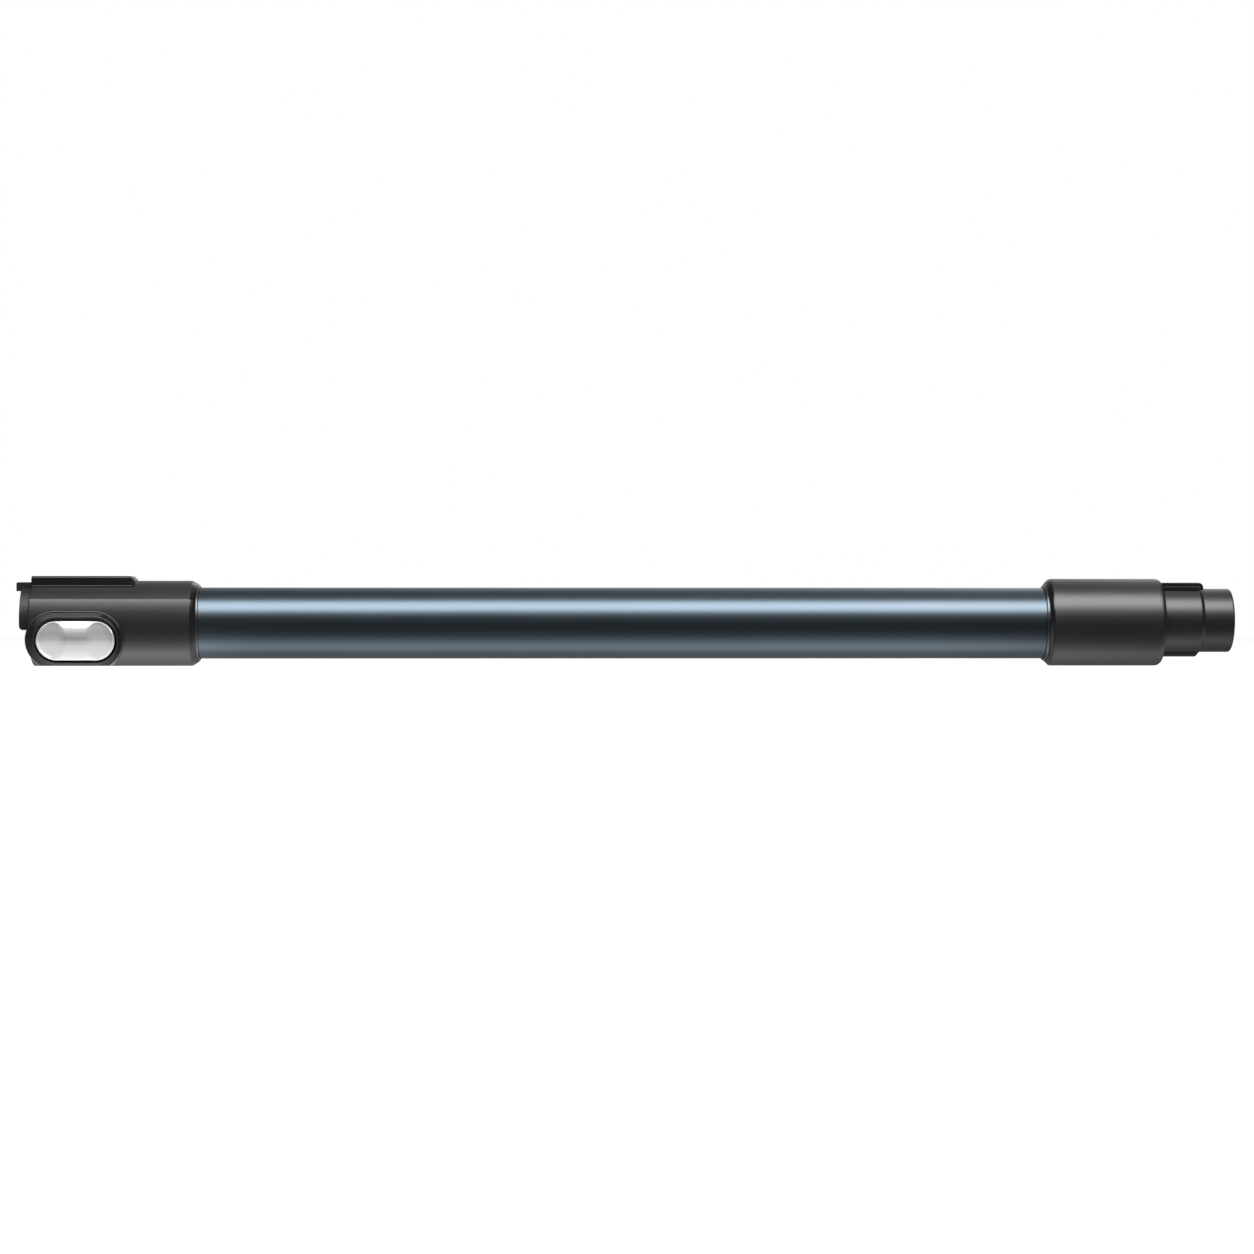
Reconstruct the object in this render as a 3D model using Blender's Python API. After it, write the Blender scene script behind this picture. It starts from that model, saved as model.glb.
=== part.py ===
"""Extension wand of a cordless vacuum cleaner: a metal tube with a latching socket at one end and a keyed
spigot at the other. Metres, +Z up. The wand lies along X with its socket at -X and its spigot at +X."""
import math

import bmesh
import bpy
from mathutils import Matrix, Vector

MM = 0.001
SIDES = 48
FLAT = math.cos(math.pi / SIDES)
FIT = 0.3 * MM

# Tube
TUBE_RADIUS = 19.0 * MM
TUBE_WALL = 1.0 * MM
TUBE_EXPOSED = 450.2 * MM
TUBE_IN_SOCKET = 38.75 * MM
TUBE_IN_COLLAR = 37.0 * MM
TRIM_RING_WALL = 1.0 * MM
TRIM_RING_LENGTH = 3.0 * MM
TRIM_RING_PROUD = 0.9 * MM
TUBE_MOUTH_WALL = 0.4 * MM

# Spigot: the round neck and nose that a socket takes
SPIGOT_RISE = 1.5 * MM
NECK_RADIUS = 18.0 * MM
NECK_LENGTH = 21.5 * MM
NECK_CHAMFER = 1.7 * MM
NOSE_RADIUS = 17.0 * MM
NOSE_LENGTH = 16.0 * MM
NOSE_BORE_RADIUS = 15.2 * MM
NOSE_EDGE = 0.9 * MM
NOSE_LEAD = 0.8 * MM
FLANGE_LEAD = 1.0 * MM
RIB_REACH = 19.45 * MM
RIB_HALF = 4.2 * MM
RIB_SLOPE = 2.9 * MM
RIB_ROOT = 1.5 * MM
FLANGE_RADIUS = 20.3 * MM
FLANGE_LENGTH = 6.0 * MM
SPIGOT_SEAL_LENGTH = 1.5 * MM
WIRE_GROOVE_WALL = 0.7 * MM
CATCH_DEPTH = 1.2 * MM
CATCH_HALF = 2.6 * MM

# Keyed plug on the neck
KEY_FOOT_HALF = 8.6 * MM
KEY_FOOT_TOP = 19.6 * MM
KEY_HALF = 7.6 * MM
KEY_TOP = 21.6 * MM
KEY_OVERHANG = 0.8 * MM
KEY_CORNER = 2.6 * MM
STRIP_LENGTH = 15.0 * MM
STRIP_FROM_CORNER = 1.0 * MM
STRIP_WIDTH = 3.0 * MM
STRIP_THICKNESS = 0.8 * MM
STRIP_SPACING = 4.2 * MM

# Nozzle collar
COLLAR_RADIUS = 23.3 * MM
COLLAR_LENGTH = 63.2 * MM
COLLAR_CHAMFER = 2.95 * MM
COLLAR_SETBACK = 1.5 * MM
COLLAR_EDGE = 2.6 * MM
COLLAR_EDGE_DROP = 1.6 * MM
COLLAR_GROOVE_RADIUS = 21.3 * MM
COLLAR_GROOVE_DEPTH = 9.5 * MM
COLLAR_SHOULDER = 2.5 * MM

# Socket housing
HOUSING_RADIUS = 22.8 * MM
HOUSING_CHAMFER = 3.1 * MM
FRONT_RADIUS = 35.0 * MM
CREASE_HEIGHT = 12.4 * MM
SHOULDER_RADIUS = 45.0 * MM
SHOULDER_START = math.radians(45.0)
SHOULDER_END = math.radians(60.0)
SLOT_FOOT = 17.0 * MM
POCKET_HALF_Y = 3.4 * MM
POCKET_DEPTH = 3.2 * MM

# Socket sleeve
SLEEVE_WALL = 1.15 * MM
SLEEVE_GUIDE_WALL = 1.0 * MM
SOCKET_PLAY = 0.35 * MM
GUIDE_REACH = 7.9 * MM
GUIDE_FOOT = 16.2 * MM
LUG_REACH = 5.2 * MM
LUG_FOOT = -3.7 * MM
SEAL_LENGTH = 1.6 * MM

# Rail cover
COVER_WALL = 1.1 * MM
COVER_TOP = 24.9 * MM
COVER_ROOF = 1.5 * MM
COVER_LENGTH = 55.0 * MM
COVER_CHAMFER = 2.2 * MM
COVER_EDGE = 0.8 * MM
COVER_NARROWING = 0.86

# Contact carrier and its leaves
CARRIER_LENGTH = 12.0 * MM
LEAF_THICKNESS = 0.4 * MM
LEAF_BOW = 1.3 * MM
LEAF_FROM_MOUTH = 7.0 * MM

# Wires and their channel
WIRE_DROP_LENGTH = 9.1 * MM
WIRE_RADIUS = 0.8 * MM
WIRE_SPACING = 4.0 * MM
WIRE_BEND = 1.0 * MM
CHANNEL_FLOOR = 12.6 * MM
CHANNEL_WALL = 1.0 * MM

# Release button
BUTTON_FROM_MOUTH = 24.9 * MM
BUTTON_DROP = 9.2 * MM
BUTTON_HALF_LENGTH = 20.55 * MM
BUTTON_HALF_HEIGHT = 10.44 * MM
BUTTON_REACH = 25.0 * MM
BUTTON_CROWN = 20.0 * MM
BUTTON_CROWN_DROP = 8.2 * MM
BUTTON_SHELL = 0.9 * MM
DISH_RADIUS = 10.9 * MM
DISH_DEPTH = 1.5 * MM
DISH_OFFSET = 15.4 * MM
BUTTON_GAP = 0.8 * MM

# Bezel round the button
BEZEL_REACH = 23.75 * MM
BEZEL_CROWN = 40.0 * MM
BEZEL_CROWN_DROP = 3.0 * MM
BEZEL_SKIRT = 2.7 * MM
BEZEL_WIDTH = 5.2 * MM
BEZEL_LEAN = 0.9 * MM
BEZEL_FLOOR = 0.45 * MM
BEZEL_BACK = 3.6 * MM
WINDOW_BACK = 10.0 * MM
WINDOW_OVERLAP = 2.0 * MM

# Release lever
PIN_REACH = 15.6 * MM
PIN_DROP = 17.0 * MM
PIN_RADIUS = 0.9 * MM
HUB_WALL = 1.0 * MM
LUG_THICKNESS = 2.0 * MM
LUG_ROOT = 2.0 * MM
LUG_FRONT = 3.0 * MM
LUG_RISE = 2.4 * MM
LEVER_HALF_WIDTH = 10.6 * MM
ARM_THICKNESS = 1.0 * MM
ARM_ROOT_THICKNESS = 3.0 * MM
ARM_START = math.radians(-84.0)
ARM_END = math.radians(-132.0)
ARM_WIDTH = 4.4 * MM
TOOTH_HEIGHT = 3.1 * MM
TOOTH_HALF = 1.9 * MM
TOOTH_ROOT = 0.5 * MM
TOOTH_FROM_MOUTH = 17.0 * MM
PLATE_HALF = 4.2 * MM
PLATE_THICKNESS = 1.3 * MM
PLATE_FOOT = 0.6 * MM
PLATE_RISE = 3.2 * MM
COIL_START = 5.0 * MM
SPRING_WIRE = 0.3 * MM
SPRING_TURNS = 4
SPRING_PITCH = 0.9 * MM

# Places along the wand
SOCKET_DEPTH = NECK_LENGTH + NOSE_LENGTH + SOCKET_PLAY + SEAL_LENGTH
HOUSING_LENGTH = SOCKET_DEPTH + WIRE_DROP_LENGTH + TUBE_IN_SOCKET
LENGTH = GUIDE_REACH + HOUSING_LENGTH + TUBE_EXPOSED + COLLAR_LENGTH + NECK_LENGTH + NOSE_LENGTH
MOUTH_X = GUIDE_REACH - LENGTH / 2
HOUSING_END_X = MOUTH_X + HOUSING_LENGTH
COLLAR_X = HOUSING_END_X + TUBE_EXPOSED
COLLAR_END_X = COLLAR_X + COLLAR_LENGTH
NECK_END_X = COLLAR_END_X + NECK_LENGTH
NOSE_END_X = NECK_END_X + NOSE_LENGTH
TUBE_START_X = MOUTH_X + SOCKET_DEPTH + WIRE_DROP_LENGTH
TUBE_END_X = COLLAR_X + TUBE_IN_COLLAR
GROOVE_X = COLLAR_END_X - COLLAR_GROOVE_DEPTH
SHOULDER_X = GROOVE_X - COLLAR_SHOULDER
FLANGE_X = SHOULDER_X - 2 * FIT - SPIGOT_SEAL_LENGTH - FLANGE_LENGTH
BUTTON_X = MOUTH_X + BUTTON_FROM_MOUTH
TOOTH_X = MOUTH_X + TOOTH_FROM_MOUTH
COVER_END_X = MOUTH_X + COVER_LENGTH

# Heights: the wand lies on the undersides of its housing and its collar
AXIS_HEIGHT = HOUSING_RADIUS * FLAT
COLLAR_RISE = (COLLAR_RADIUS - HOUSING_RADIUS) * FLAT
AXIS_Y = (BUTTON_REACH - COLLAR_RADIUS * FLAT) / 2

# Sizes of the socket that follow from the spigot
SLEEVE_BORE = NECK_RADIUS + SOCKET_PLAY
SLEEVE_RADIUS = SLEEVE_BORE + SLEEVE_WALL
SLEEVE_NOSE_BORE = NOSE_RADIUS + SOCKET_PLAY
SLEEVE_STEP_X = MOUTH_X + NECK_LENGTH + SOCKET_PLAY
SLEEVE_END_X = MOUTH_X + SOCKET_DEPTH
CAVITY_RADIUS = SLEEVE_RADIUS + FIT
CAVITY_END_X = TUBE_START_X - FIT
KEYWAY_HALF = KEY_FOOT_HALF + SOCKET_PLAY
GUIDE_HALF = KEYWAY_HALF + SLEEVE_GUIDE_WALL
COVER_INNER_HALF = GUIDE_HALF + FIT
COVER_HALF = COVER_INNER_HALF + COVER_WALL
COVER_CEILING = COVER_TOP - COVER_ROOF
SLEEVE_DECK = SPIGOT_RISE + SLEEVE_NOSE_BORE + SLEEVE_WALL
CARRIER_X = MOUTH_X + NECK_LENGTH + KEY_OVERHANG + SOCKET_PLAY
RING_SEAT_RADIUS = TUBE_RADIUS + 2 * FIT + TRIM_RING_WALL

BEYOND = 60.0 * MM


def clear_scene():
    for item in list(bpy.data.objects):
        bpy.data.objects.remove(item, do_unlink=True)


def add_empty(name, location):
    empty = bpy.data.objects.new(name, None)
    empty.location = location
    bpy.context.scene.collection.objects.link(empty)
    return empty


def material(name, colour, roughness, metallic=0.0):
    found = bpy.data.materials.get(name)
    if found:
        return found
    made = bpy.data.materials.new(name)
    made.use_nodes = True
    shader = made.node_tree.nodes["Principled BSDF"]
    shader.inputs["Base Color"].default_value = (*colour, 1.0)
    shader.inputs["Roughness"].default_value = roughness
    shader.inputs["Metallic"].default_value = metallic
    return made


def anodised_blue():
    return material("anodised_blue", (0.10, 0.14, 0.18), 0.32, 1.0)


def satin_black():
    return material("satin_black", (0.035, 0.035, 0.036), 0.42)


def gloss_black():
    return material("gloss_black", (0.012, 0.012, 0.013), 0.16)


def satin_silver():
    return material("satin_silver", (0.72, 0.73, 0.74), 0.30, 1.0)


def spring_steel():
    return material("spring_steel", (0.55, 0.56, 0.58), 0.25, 1.0)


def brass():
    return material("brass", (0.78, 0.57, 0.28), 0.28, 1.0)


def soft_rubber():
    return material("soft_rubber", (0.02, 0.02, 0.02), 0.75)


def wire_jacket():
    return material("wire_jacket", (0.45, 0.03, 0.03), 0.5)


def finish(name, mesh_data, finish_material, parent, smooth=True):
    item = bpy.data.objects.new(name, mesh_data)
    bpy.context.scene.collection.objects.link(item)
    item.parent = parent
    if finish_material:
        mesh_data.materials.append(finish_material)
    if smooth:
        mesh_data.shade_smooth()
        mesh_data.set_sharp_from_angle(angle=math.radians(30.0))
    return item


def make_mesh(name, shape):
    bmesh.ops.recalc_face_normals(shape, faces=shape.faces)
    data = bpy.data.meshes.new(name)
    shape.to_mesh(data)
    shape.free()
    return data


def circle(radius, rise=0.0, sides=SIDES):
    """Points (y, z) of a circle with a flat side at its bottom."""
    half_step = math.pi / sides
    points = []
    for index in range(sides):
        angle = -math.pi / 2 + half_step + 2 * half_step * index
        points.append((radius * math.cos(angle), rise + radius * math.sin(angle)))
    return points


def arc(centre, radius, start, end, steps):
    """Points from one angle to another, both ends included."""
    points = []
    for index in range(steps + 1):
        angle = start + (end - start) * index / steps
        points.append((centre[0] + radius * math.cos(angle), centre[1] + radius * math.sin(angle)))
    return points


def loft(name, sections):
    """A closed solid through outlines (x, [(y, z), ...]) with equal numbers of points."""
    shape = bmesh.new()
    rings = []
    for x, outline in sections:
        rings.append([shape.verts.new((x, y, z)) for y, z in outline])
    for lower, upper in zip(rings, rings[1:]):
        for index in range(len(lower)):
            after = (index + 1) % len(lower)
            shape.faces.new((lower[index], lower[after], upper[after], upper[index]))
    shape.faces.new(rings[0])
    shape.faces.new(rings[-1])
    return make_mesh(name, shape)


def turned(name, profile, rise=0.0, sides=SIDES):
    """A ring-shaped solid: the closed profile [(x, radius), ...] turned round an axis along X."""
    shape = bmesh.new()
    columns = []
    half_step = math.pi / sides
    for index in range(sides):
        angle = -math.pi / 2 + half_step + 2 * half_step * index
        column = []
        for x, radius in profile:
            column.append(shape.verts.new((x, radius * math.cos(angle), rise + radius * math.sin(angle))))
        columns.append(column)
    for index in range(sides):
        here = columns[index]
        there = columns[(index + 1) % sides]
        for row in range(len(profile)):
            after = (row + 1) % len(profile)
            shape.faces.new((here[row], here[after], there[after], there[row]))
    return make_mesh(name, shape)


def extruded_x(name, outline, start, end):
    return loft(name, [(start, outline), (end, outline)])


def extruded_y(name, outline, start, end):
    """A solid from an outline [(x, z), ...] between two values of y."""
    shape = bmesh.new()
    near = [shape.verts.new((x, start, z)) for x, z in outline]
    far = [shape.verts.new((x, end, z)) for x, z in outline]
    for index in range(len(outline)):
        after = (index + 1) % len(outline)
        shape.faces.new((near[index], near[after], far[after], far[index]))
    shape.faces.new(near)
    shape.faces.new(far)
    return make_mesh(name, shape)


def block(name, low, high):
    shape = bmesh.new()
    centre = (Vector(low) + Vector(high)) / 2
    size = Vector(high) - Vector(low)
    place = Matrix.Translation(centre) @ Matrix.Diagonal((*size, 1.0))
    bmesh.ops.create_cube(shape, size=1.0, matrix=place)
    return make_mesh(name, shape)


def cutter(mesh_data, parent):
    """A hidden helper that other objects' Booleans read."""
    item = bpy.data.objects.new(mesh_data.name, mesh_data)
    bpy.context.scene.collection.objects.link(item)
    item.parent = parent
    item.hide_render = True
    item.display_type = "WIRE"
    return item


def combine(item, other, operation):
    modifier = item.modifiers.new(f"{operation.lower()} {other.name}", "BOOLEAN")
    modifier.operation = operation
    modifier.object = other
    modifier.solver = "EXACT"


def cut(item, other):
    combine(item, other, "DIFFERENCE")


def add(item, other):
    combine(item, other, "UNION")


def soften(item, width, angle=40.0, segments=1):
    """A small bevel on the sharp edges of a piece that has no Boolean yet."""
    modifier = item.modifiers.new("edge", "BEVEL")
    modifier.width = width
    modifier.segments = segments
    modifier.limit_method = "ANGLE"
    modifier.angle_limit = math.radians(angle)


# Outline of the socket housing
def housing_outline(growth=0.0):
    """Points (y, z): half a circle below, a flatter front and back above it, a crease and a rounded roof."""
    half_step = math.pi / SIDES
    below = []
    for index in range(SIDES // 2):
        angle = -math.pi + half_step + 2 * half_step * index
        below.append((HOUSING_RADIUS * math.cos(angle), HOUSING_RADIUS * math.sin(angle)))
    crease_angle = math.asin(CREASE_HEIGHT / FRONT_RADIUS)
    front_centre = FRONT_RADIUS - HOUSING_RADIUS * FLAT
    side = []
    for index in range(1, 4):
        angle = crease_angle * index / 3
        side.append((FRONT_RADIUS * math.cos(angle) - front_centre, FRONT_RADIUS * math.sin(angle)))
    crease_y, crease_z = side[-1]
    centre_y = crease_y - SHOULDER_RADIUS * math.cos(SHOULDER_START)
    centre_z = crease_z - SHOULDER_RADIUS * math.sin(SHOULDER_START)
    side += arc((centre_y, centre_z), SHOULDER_RADIUS, SHOULDER_START, SHOULDER_END, 2)[1:]
    shoulder_y, shoulder_z = side[-1]
    roof_radius = shoulder_y / math.cos(SHOULDER_END)
    roof_z = shoulder_z - roof_radius * math.sin(SHOULDER_END)
    roof_half_step = (math.pi / 2 - SHOULDER_END) / 3.5
    for index in range(1, 4):
        angle = SHOULDER_END + roof_half_step * index
        side.append((roof_radius * math.cos(angle), roof_z + roof_radius * math.sin(angle)))
    mirrored = [(-y, z) for y, z in reversed(side)]
    outline = below + side + mirrored
    if growth == 0.0:
        return outline
    return grown(outline, growth)


def grown(outline, growth):
    """The outline moved outwards by the same distance everywhere."""
    result = []
    count = len(outline)
    for index, (y, z) in enumerate(outline):
        before = Vector(outline[index - 1])
        after = Vector(outline[(index + 1) % count])
        here = Vector((y, z))
        first = (here - before).normalized()
        second = (after - here).normalized()
        outward = Vector((first.y + second.y, -first.x - second.x)).normalized()
        stretch = growth / max(outward.dot(Vector((first.y, -first.x))), 0.5)
        result.append((y + outward.x * stretch, z + outward.y * stretch))
    return result


def pill(offset, steps=14):
    """Stations (x, z) round the button's outline, moved outwards by the offset."""
    radius = BUTTON_HALF_HEIGHT + offset
    straight = BUTTON_HALF_LENGTH - BUTTON_HALF_HEIGHT
    right = arc((BUTTON_X + straight, -BUTTON_DROP), radius, -math.pi / 2, math.pi / 2, steps)
    left = arc((BUTTON_X - straight, -BUTTON_DROP), radius, math.pi / 2, 3 * math.pi / 2, steps)
    return right + left


def bezel_face(z):
    """Value of y on the crowned front of the bezel at a height z."""
    lift = z + BEZEL_CROWN_DROP
    return -BEZEL_REACH + BEZEL_CROWN - math.sqrt(BEZEL_CROWN ** 2 - lift ** 2)


def button_face(x, z):
    """Value of y on the button's front: a crown along X with a round dish towards each end."""
    lift = z + BUTTON_CROWN_DROP
    depth = BUTTON_CROWN - math.sqrt(BUTTON_CROWN ** 2 - lift ** 2)
    for side in (-1, 1):
        reach = math.hypot(x - BUTTON_X - side * DISH_OFFSET, z + BUTTON_DROP)
        if reach < DISH_RADIUS:
            depth += DISH_DEPTH * (1 - (reach / DISH_RADIUS) ** 2)
    return -BUTTON_REACH + depth


# Tube and what runs inside it
def make_tube(axis):
    inner = TUBE_RADIUS - TUBE_WALL
    profile = [(TUBE_START_X, inner), (TUBE_END_X, inner), (TUBE_END_X, TUBE_RADIUS),
               (TUBE_START_X, TUBE_RADIUS)]
    return finish("tube", turned("tube", profile), anodised_blue(), axis)


def make_trim_ring(axis, name, start):
    inner = TUBE_RADIUS + FIT
    outer = inner + TRIM_RING_WALL
    lip = TRIM_RING_WALL / 3
    end = start + TRIM_RING_LENGTH
    profile = [(start, inner), (end, inner), (end, outer - lip), (end - lip, outer), (start + lip, outer),
               (start, outer - lip)]
    return finish(name, turned(name, profile), gloss_black(), axis)


def channel_outline(inset):
    radius = TUBE_RADIUS - TUBE_WALL - FIT - inset
    floor = CHANNEL_FLOOR + inset
    start = math.asin(floor / radius)
    return arc((0.0, 0.0), radius, start, math.pi - start, 10)


def make_wire_channel(axis):
    """A plastic trunking under the tube's roof, open at both ends and above them."""
    start = SLEEVE_END_X + FIT
    end = FLANGE_X - FIT
    body = extruded_x("wire_channel", channel_outline(0.0), start, end)
    item = finish("wire_channel", body, satin_black(), axis)
    hollow = extruded_x("channel_hollow", channel_outline(CHANNEL_WALL), start - BEYOND, end + BEYOND)
    cut(item, cutter(hollow, axis))
    mouth_half = WIRE_SPACING / 2 + WIRE_RADIUS + FIT
    for name, low, high in (("channel_mouth_socket", start - BEYOND, TUBE_START_X - FIT),
                            ("channel_mouth_collar", TUBE_END_X + FIT, end + BEYOND)):
        opening = block(name, (low, -mouth_half, CHANNEL_FLOOR + 2 * CHANNEL_WALL),
                        (high, mouth_half, BEYOND))
        cut(item, cutter(opening, axis))
    return item


def smooth(share):
    return share * share * (3 - 2 * share)


def ramp(start, end, steps=8):
    """Points (x, z) of an S-bend between two points."""
    points = []
    for index in range(steps + 1):
        share = index / steps
        x = start[0] + (end[0] - start[0]) * share
        points.append((x, start[1] + (end[1] - start[1]) * smooth(share)))
    return points


def groove_floor():
    """Height of the floor of the wire groove in the spigot's neck."""
    return SPIGOT_RISE + NOSE_BORE_RADIUS + WIRE_GROOVE_WALL


def wire_end_x():
    return COLLAR_END_X + 0.3 * NECK_LENGTH


def wire_route(y):
    """The wire's centre line: from the contact carrier into the channel, along it and up to the plug."""
    start = (CARRIER_X + CARRIER_LENGTH + FIT, SLEEVE_DECK + FIT + WIRE_RADIUS)
    low = CHANNEL_FLOOR + CHANNEL_WALL + FIT + WIRE_RADIUS
    high = groove_floor() + FIT + WIRE_RADIUS
    route = [start]
    route += ramp((SLEEVE_END_X, start[1]), (TUBE_START_X + WIRE_BEND, low))
    route += ramp((TUBE_END_X - WIRE_BEND, low), (FLANGE_X, high))
    route.append((wire_end_x(), high))
    return [(x, y, z) for x, z in route]


def make_wire(axis, name, y):
    curve = bpy.data.curves.new(name, "CURVE")
    curve.dimensions = "3D"
    curve.bevel_depth = WIRE_RADIUS
    curve.bevel_resolution = 2
    curve.use_fill_caps = True
    points = wire_route(y)
    spline = curve.splines.new("POLY")
    spline.points.add(len(points) - 1)
    for point, place in zip(spline.points, points):
        point.co = (*place, 1.0)
    item = bpy.data.objects.new(name, curve)
    bpy.context.scene.collection.objects.link(item)
    item.parent = axis
    curve.materials.append(wire_jacket())
    return item


# Socket end
def make_socket_housing(axis):
    outline = housing_outline()
    corner_x = HOUSING_END_X - HOUSING_CHAMFER
    scale = (RING_SEAT_RADIUS + TUBE_MOUTH_WALL) / HOUSING_RADIUS
    small = [(y * scale, z * scale) for y, z in outline]
    body = loft("socket_housing", [(MOUTH_X, outline), (corner_x, outline), (HOUSING_END_X, small)])
    item = finish("socket_housing", body, satin_black(), axis)
    cavity = extruded_x("housing_cavity", circle(CAVITY_RADIUS, SPIGOT_RISE), MOUTH_X - BEYOND, CAVITY_END_X)
    cut(item, cutter(cavity, axis))
    bore = extruded_x("housing_bore", circle(TUBE_RADIUS + FIT), CAVITY_END_X - BEYOND,
                      HOUSING_END_X + BEYOND)
    cut(item, cutter(bore, axis))
    ring_seat = extruded_x("housing_ring_seat", circle(RING_SEAT_RADIUS),
                           HOUSING_END_X + TRIM_RING_PROUD - TRIM_RING_LENGTH - FIT, HOUSING_END_X + BEYOND)
    cut(item, cutter(ring_seat, axis))
    slot_half = COVER_HALF + FIT
    slot = block("housing_slot", (MOUTH_X - BEYOND, -slot_half, SLOT_FOOT),
                 (COVER_END_X + FIT, slot_half, BEYOND))
    cut(item, cutter(slot, axis))
    window = extruded_y("housing_window", pill(BEZEL_SKIRT + FIT), -BEYOND, -WINDOW_BACK)
    cut(item, cutter(window, axis))
    pocket_floor = SPIGOT_RISE - SLEEVE_RADIUS - POCKET_DEPTH
    pocket_half = ARM_WIDTH / 2 + 2 * FIT
    pocket = block("lever_pocket", (TOOTH_X - pocket_half, -WINDOW_BACK - WINDOW_OVERLAP, pocket_floor),
                   (TOOTH_X + pocket_half, POCKET_HALF_Y, -HOUSING_RADIUS / 2))
    cut(item, cutter(pocket, axis))
    return item


def make_rail_cover(axis):
    """An upturned trough over the keyway with a closed far end, and a lip above the keyway at the mouth."""
    top_in = COVER_HALF - COVER_EDGE
    above_sleeve = SPIGOT_RISE + math.sqrt(CAVITY_RADIUS ** 2 - COVER_INNER_HALF ** 2)
    foot = max(above_sleeve, TUBE_RADIUS) + FIT
    shoulder = COVER_TOP - COVER_EDGE
    section = [(-COVER_HALF, foot), (COVER_HALF, foot), (COVER_HALF, shoulder), (top_in, COVER_TOP),
               (-top_in, COVER_TOP), (-COVER_HALF, shoulder)]
    back = [(y * COVER_NARROWING, min(z, COVER_TOP - COVER_CHAMFER)) for y, z in section]
    corner_x = COVER_END_X - COVER_CHAMFER
    body = loft("rail_cover", [(MOUTH_X, section), (corner_x, section), (COVER_END_X, back)])
    item = finish("rail_cover", body, gloss_black(), axis)
    hollow = block("cover_hollow", (MOUTH_X + COVER_ROOF, -COVER_INNER_HALF, 0.0),
                   (COVER_END_X - COVER_CHAMFER - COVER_ROOF, COVER_INNER_HALF, COVER_CEILING))
    cut(item, cutter(hollow, axis))
    keyway = block("cover_keyway", (MOUTH_X - BEYOND, -COVER_INNER_HALF, 0.0),
                   (MOUTH_X + 2 * COVER_ROOF, COVER_INNER_HALF, KEY_TOP + SOCKET_PLAY))
    cut(item, cutter(keyway, axis))
    return item


def make_socket_sleeve(axis):
    """The lining of the socket: a stepped bore, a keyway between two guides, two lugs, and a slot below for
    the rib and for the lever's tooth."""
    front = MOUTH_X - GUIDE_REACH
    body = extruded_x("socket_sleeve", circle(SLEEVE_RADIUS, SPIGOT_RISE), front, SLEEVE_END_X)
    item = finish("socket_sleeve", body, satin_black(), axis)
    guides = block("sleeve_guides", (front, -GUIDE_HALF, 0.0), (SLEEVE_STEP_X, GUIDE_HALF, KEY_TOP))
    add(item, cutter(guides, axis))
    bore = extruded_x("sleeve_bore", circle(SLEEVE_BORE, SPIGOT_RISE), front - BEYOND, SLEEVE_STEP_X)
    cut(item, cutter(bore, axis))
    nose_bore = extruded_x("sleeve_nose_bore", circle(SLEEVE_NOSE_BORE, SPIGOT_RISE), front,
                           SLEEVE_END_X + BEYOND)
    cut(item, cutter(nose_bore, axis))
    keyway = block("sleeve_keyway", (front - BEYOND, -KEYWAY_HALF, SPIGOT_RISE + NOSE_RADIUS / 2),
                   (SLEEVE_STEP_X, KEYWAY_HALF, BEYOND))
    cut(item, cutter(keyway, axis))
    deck = block("sleeve_deck", (SLEEVE_STEP_X, -BEYOND, SLEEVE_DECK),
                 (SLEEVE_END_X + BEYOND, BEYOND, BEYOND))
    cut(item, cutter(deck, axis))
    lug_x = MOUTH_X - LUG_REACH
    trims = (("lug_trim", front - BEYOND, lug_x, GUIDE_FOOT),
             ("rim_trim", front - BEYOND, MOUTH_X, LUG_FOOT))
    for name, low, high, top in trims:
        cut(item, cutter(block(name, (low, -BEYOND, -BEYOND), (high, BEYOND, top)), axis))
    for name, inner, outer in (("tab_trim_front", -BEYOND, -GUIDE_HALF),
                               ("tab_trim_back", GUIDE_HALF, BEYOND)):
        cut(item, cutter(block(name, (front - BEYOND, inner, -BEYOND), (lug_x, outer, BEYOND)), axis))
    slot_half = RIB_HALF + SOCKET_PLAY
    slot = block("rib_slot", (front - BEYOND, -slot_half, -BEYOND),
                 (SLEEVE_STEP_X - SLEEVE_WALL, slot_half, 0.0))
    cut(item, cutter(slot, axis))
    return item


def make_nose_seal(axis):
    outer = SLEEVE_NOSE_BORE - SOCKET_PLAY / 2
    inner = NOSE_BORE_RADIUS + FIT
    start = SLEEVE_END_X - SEAL_LENGTH
    profile = [(start, inner + 2 * FIT), (SLEEVE_END_X, inner), (SLEEVE_END_X, outer), (start, outer)]
    return finish("nose_seal", turned("nose_seal", profile, SPIGOT_RISE), soft_rubber(), axis)


def make_contact_carrier(axis):
    """The block behind the keyway that holds the leaf contacts and the ends of the wires."""
    half = COVER_INNER_HALF - FIT
    top = COVER_CEILING - 2 * FIT - LEAF_THICKNESS
    body = block("contact_carrier", (CARRIER_X, -half, SLEEVE_DECK + FIT),
                 (CARRIER_X + CARRIER_LENGTH, half, top))
    item = finish("contact_carrier", body, satin_black(), axis)
    soften(item, 0.3 * MM)
    return item


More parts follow.
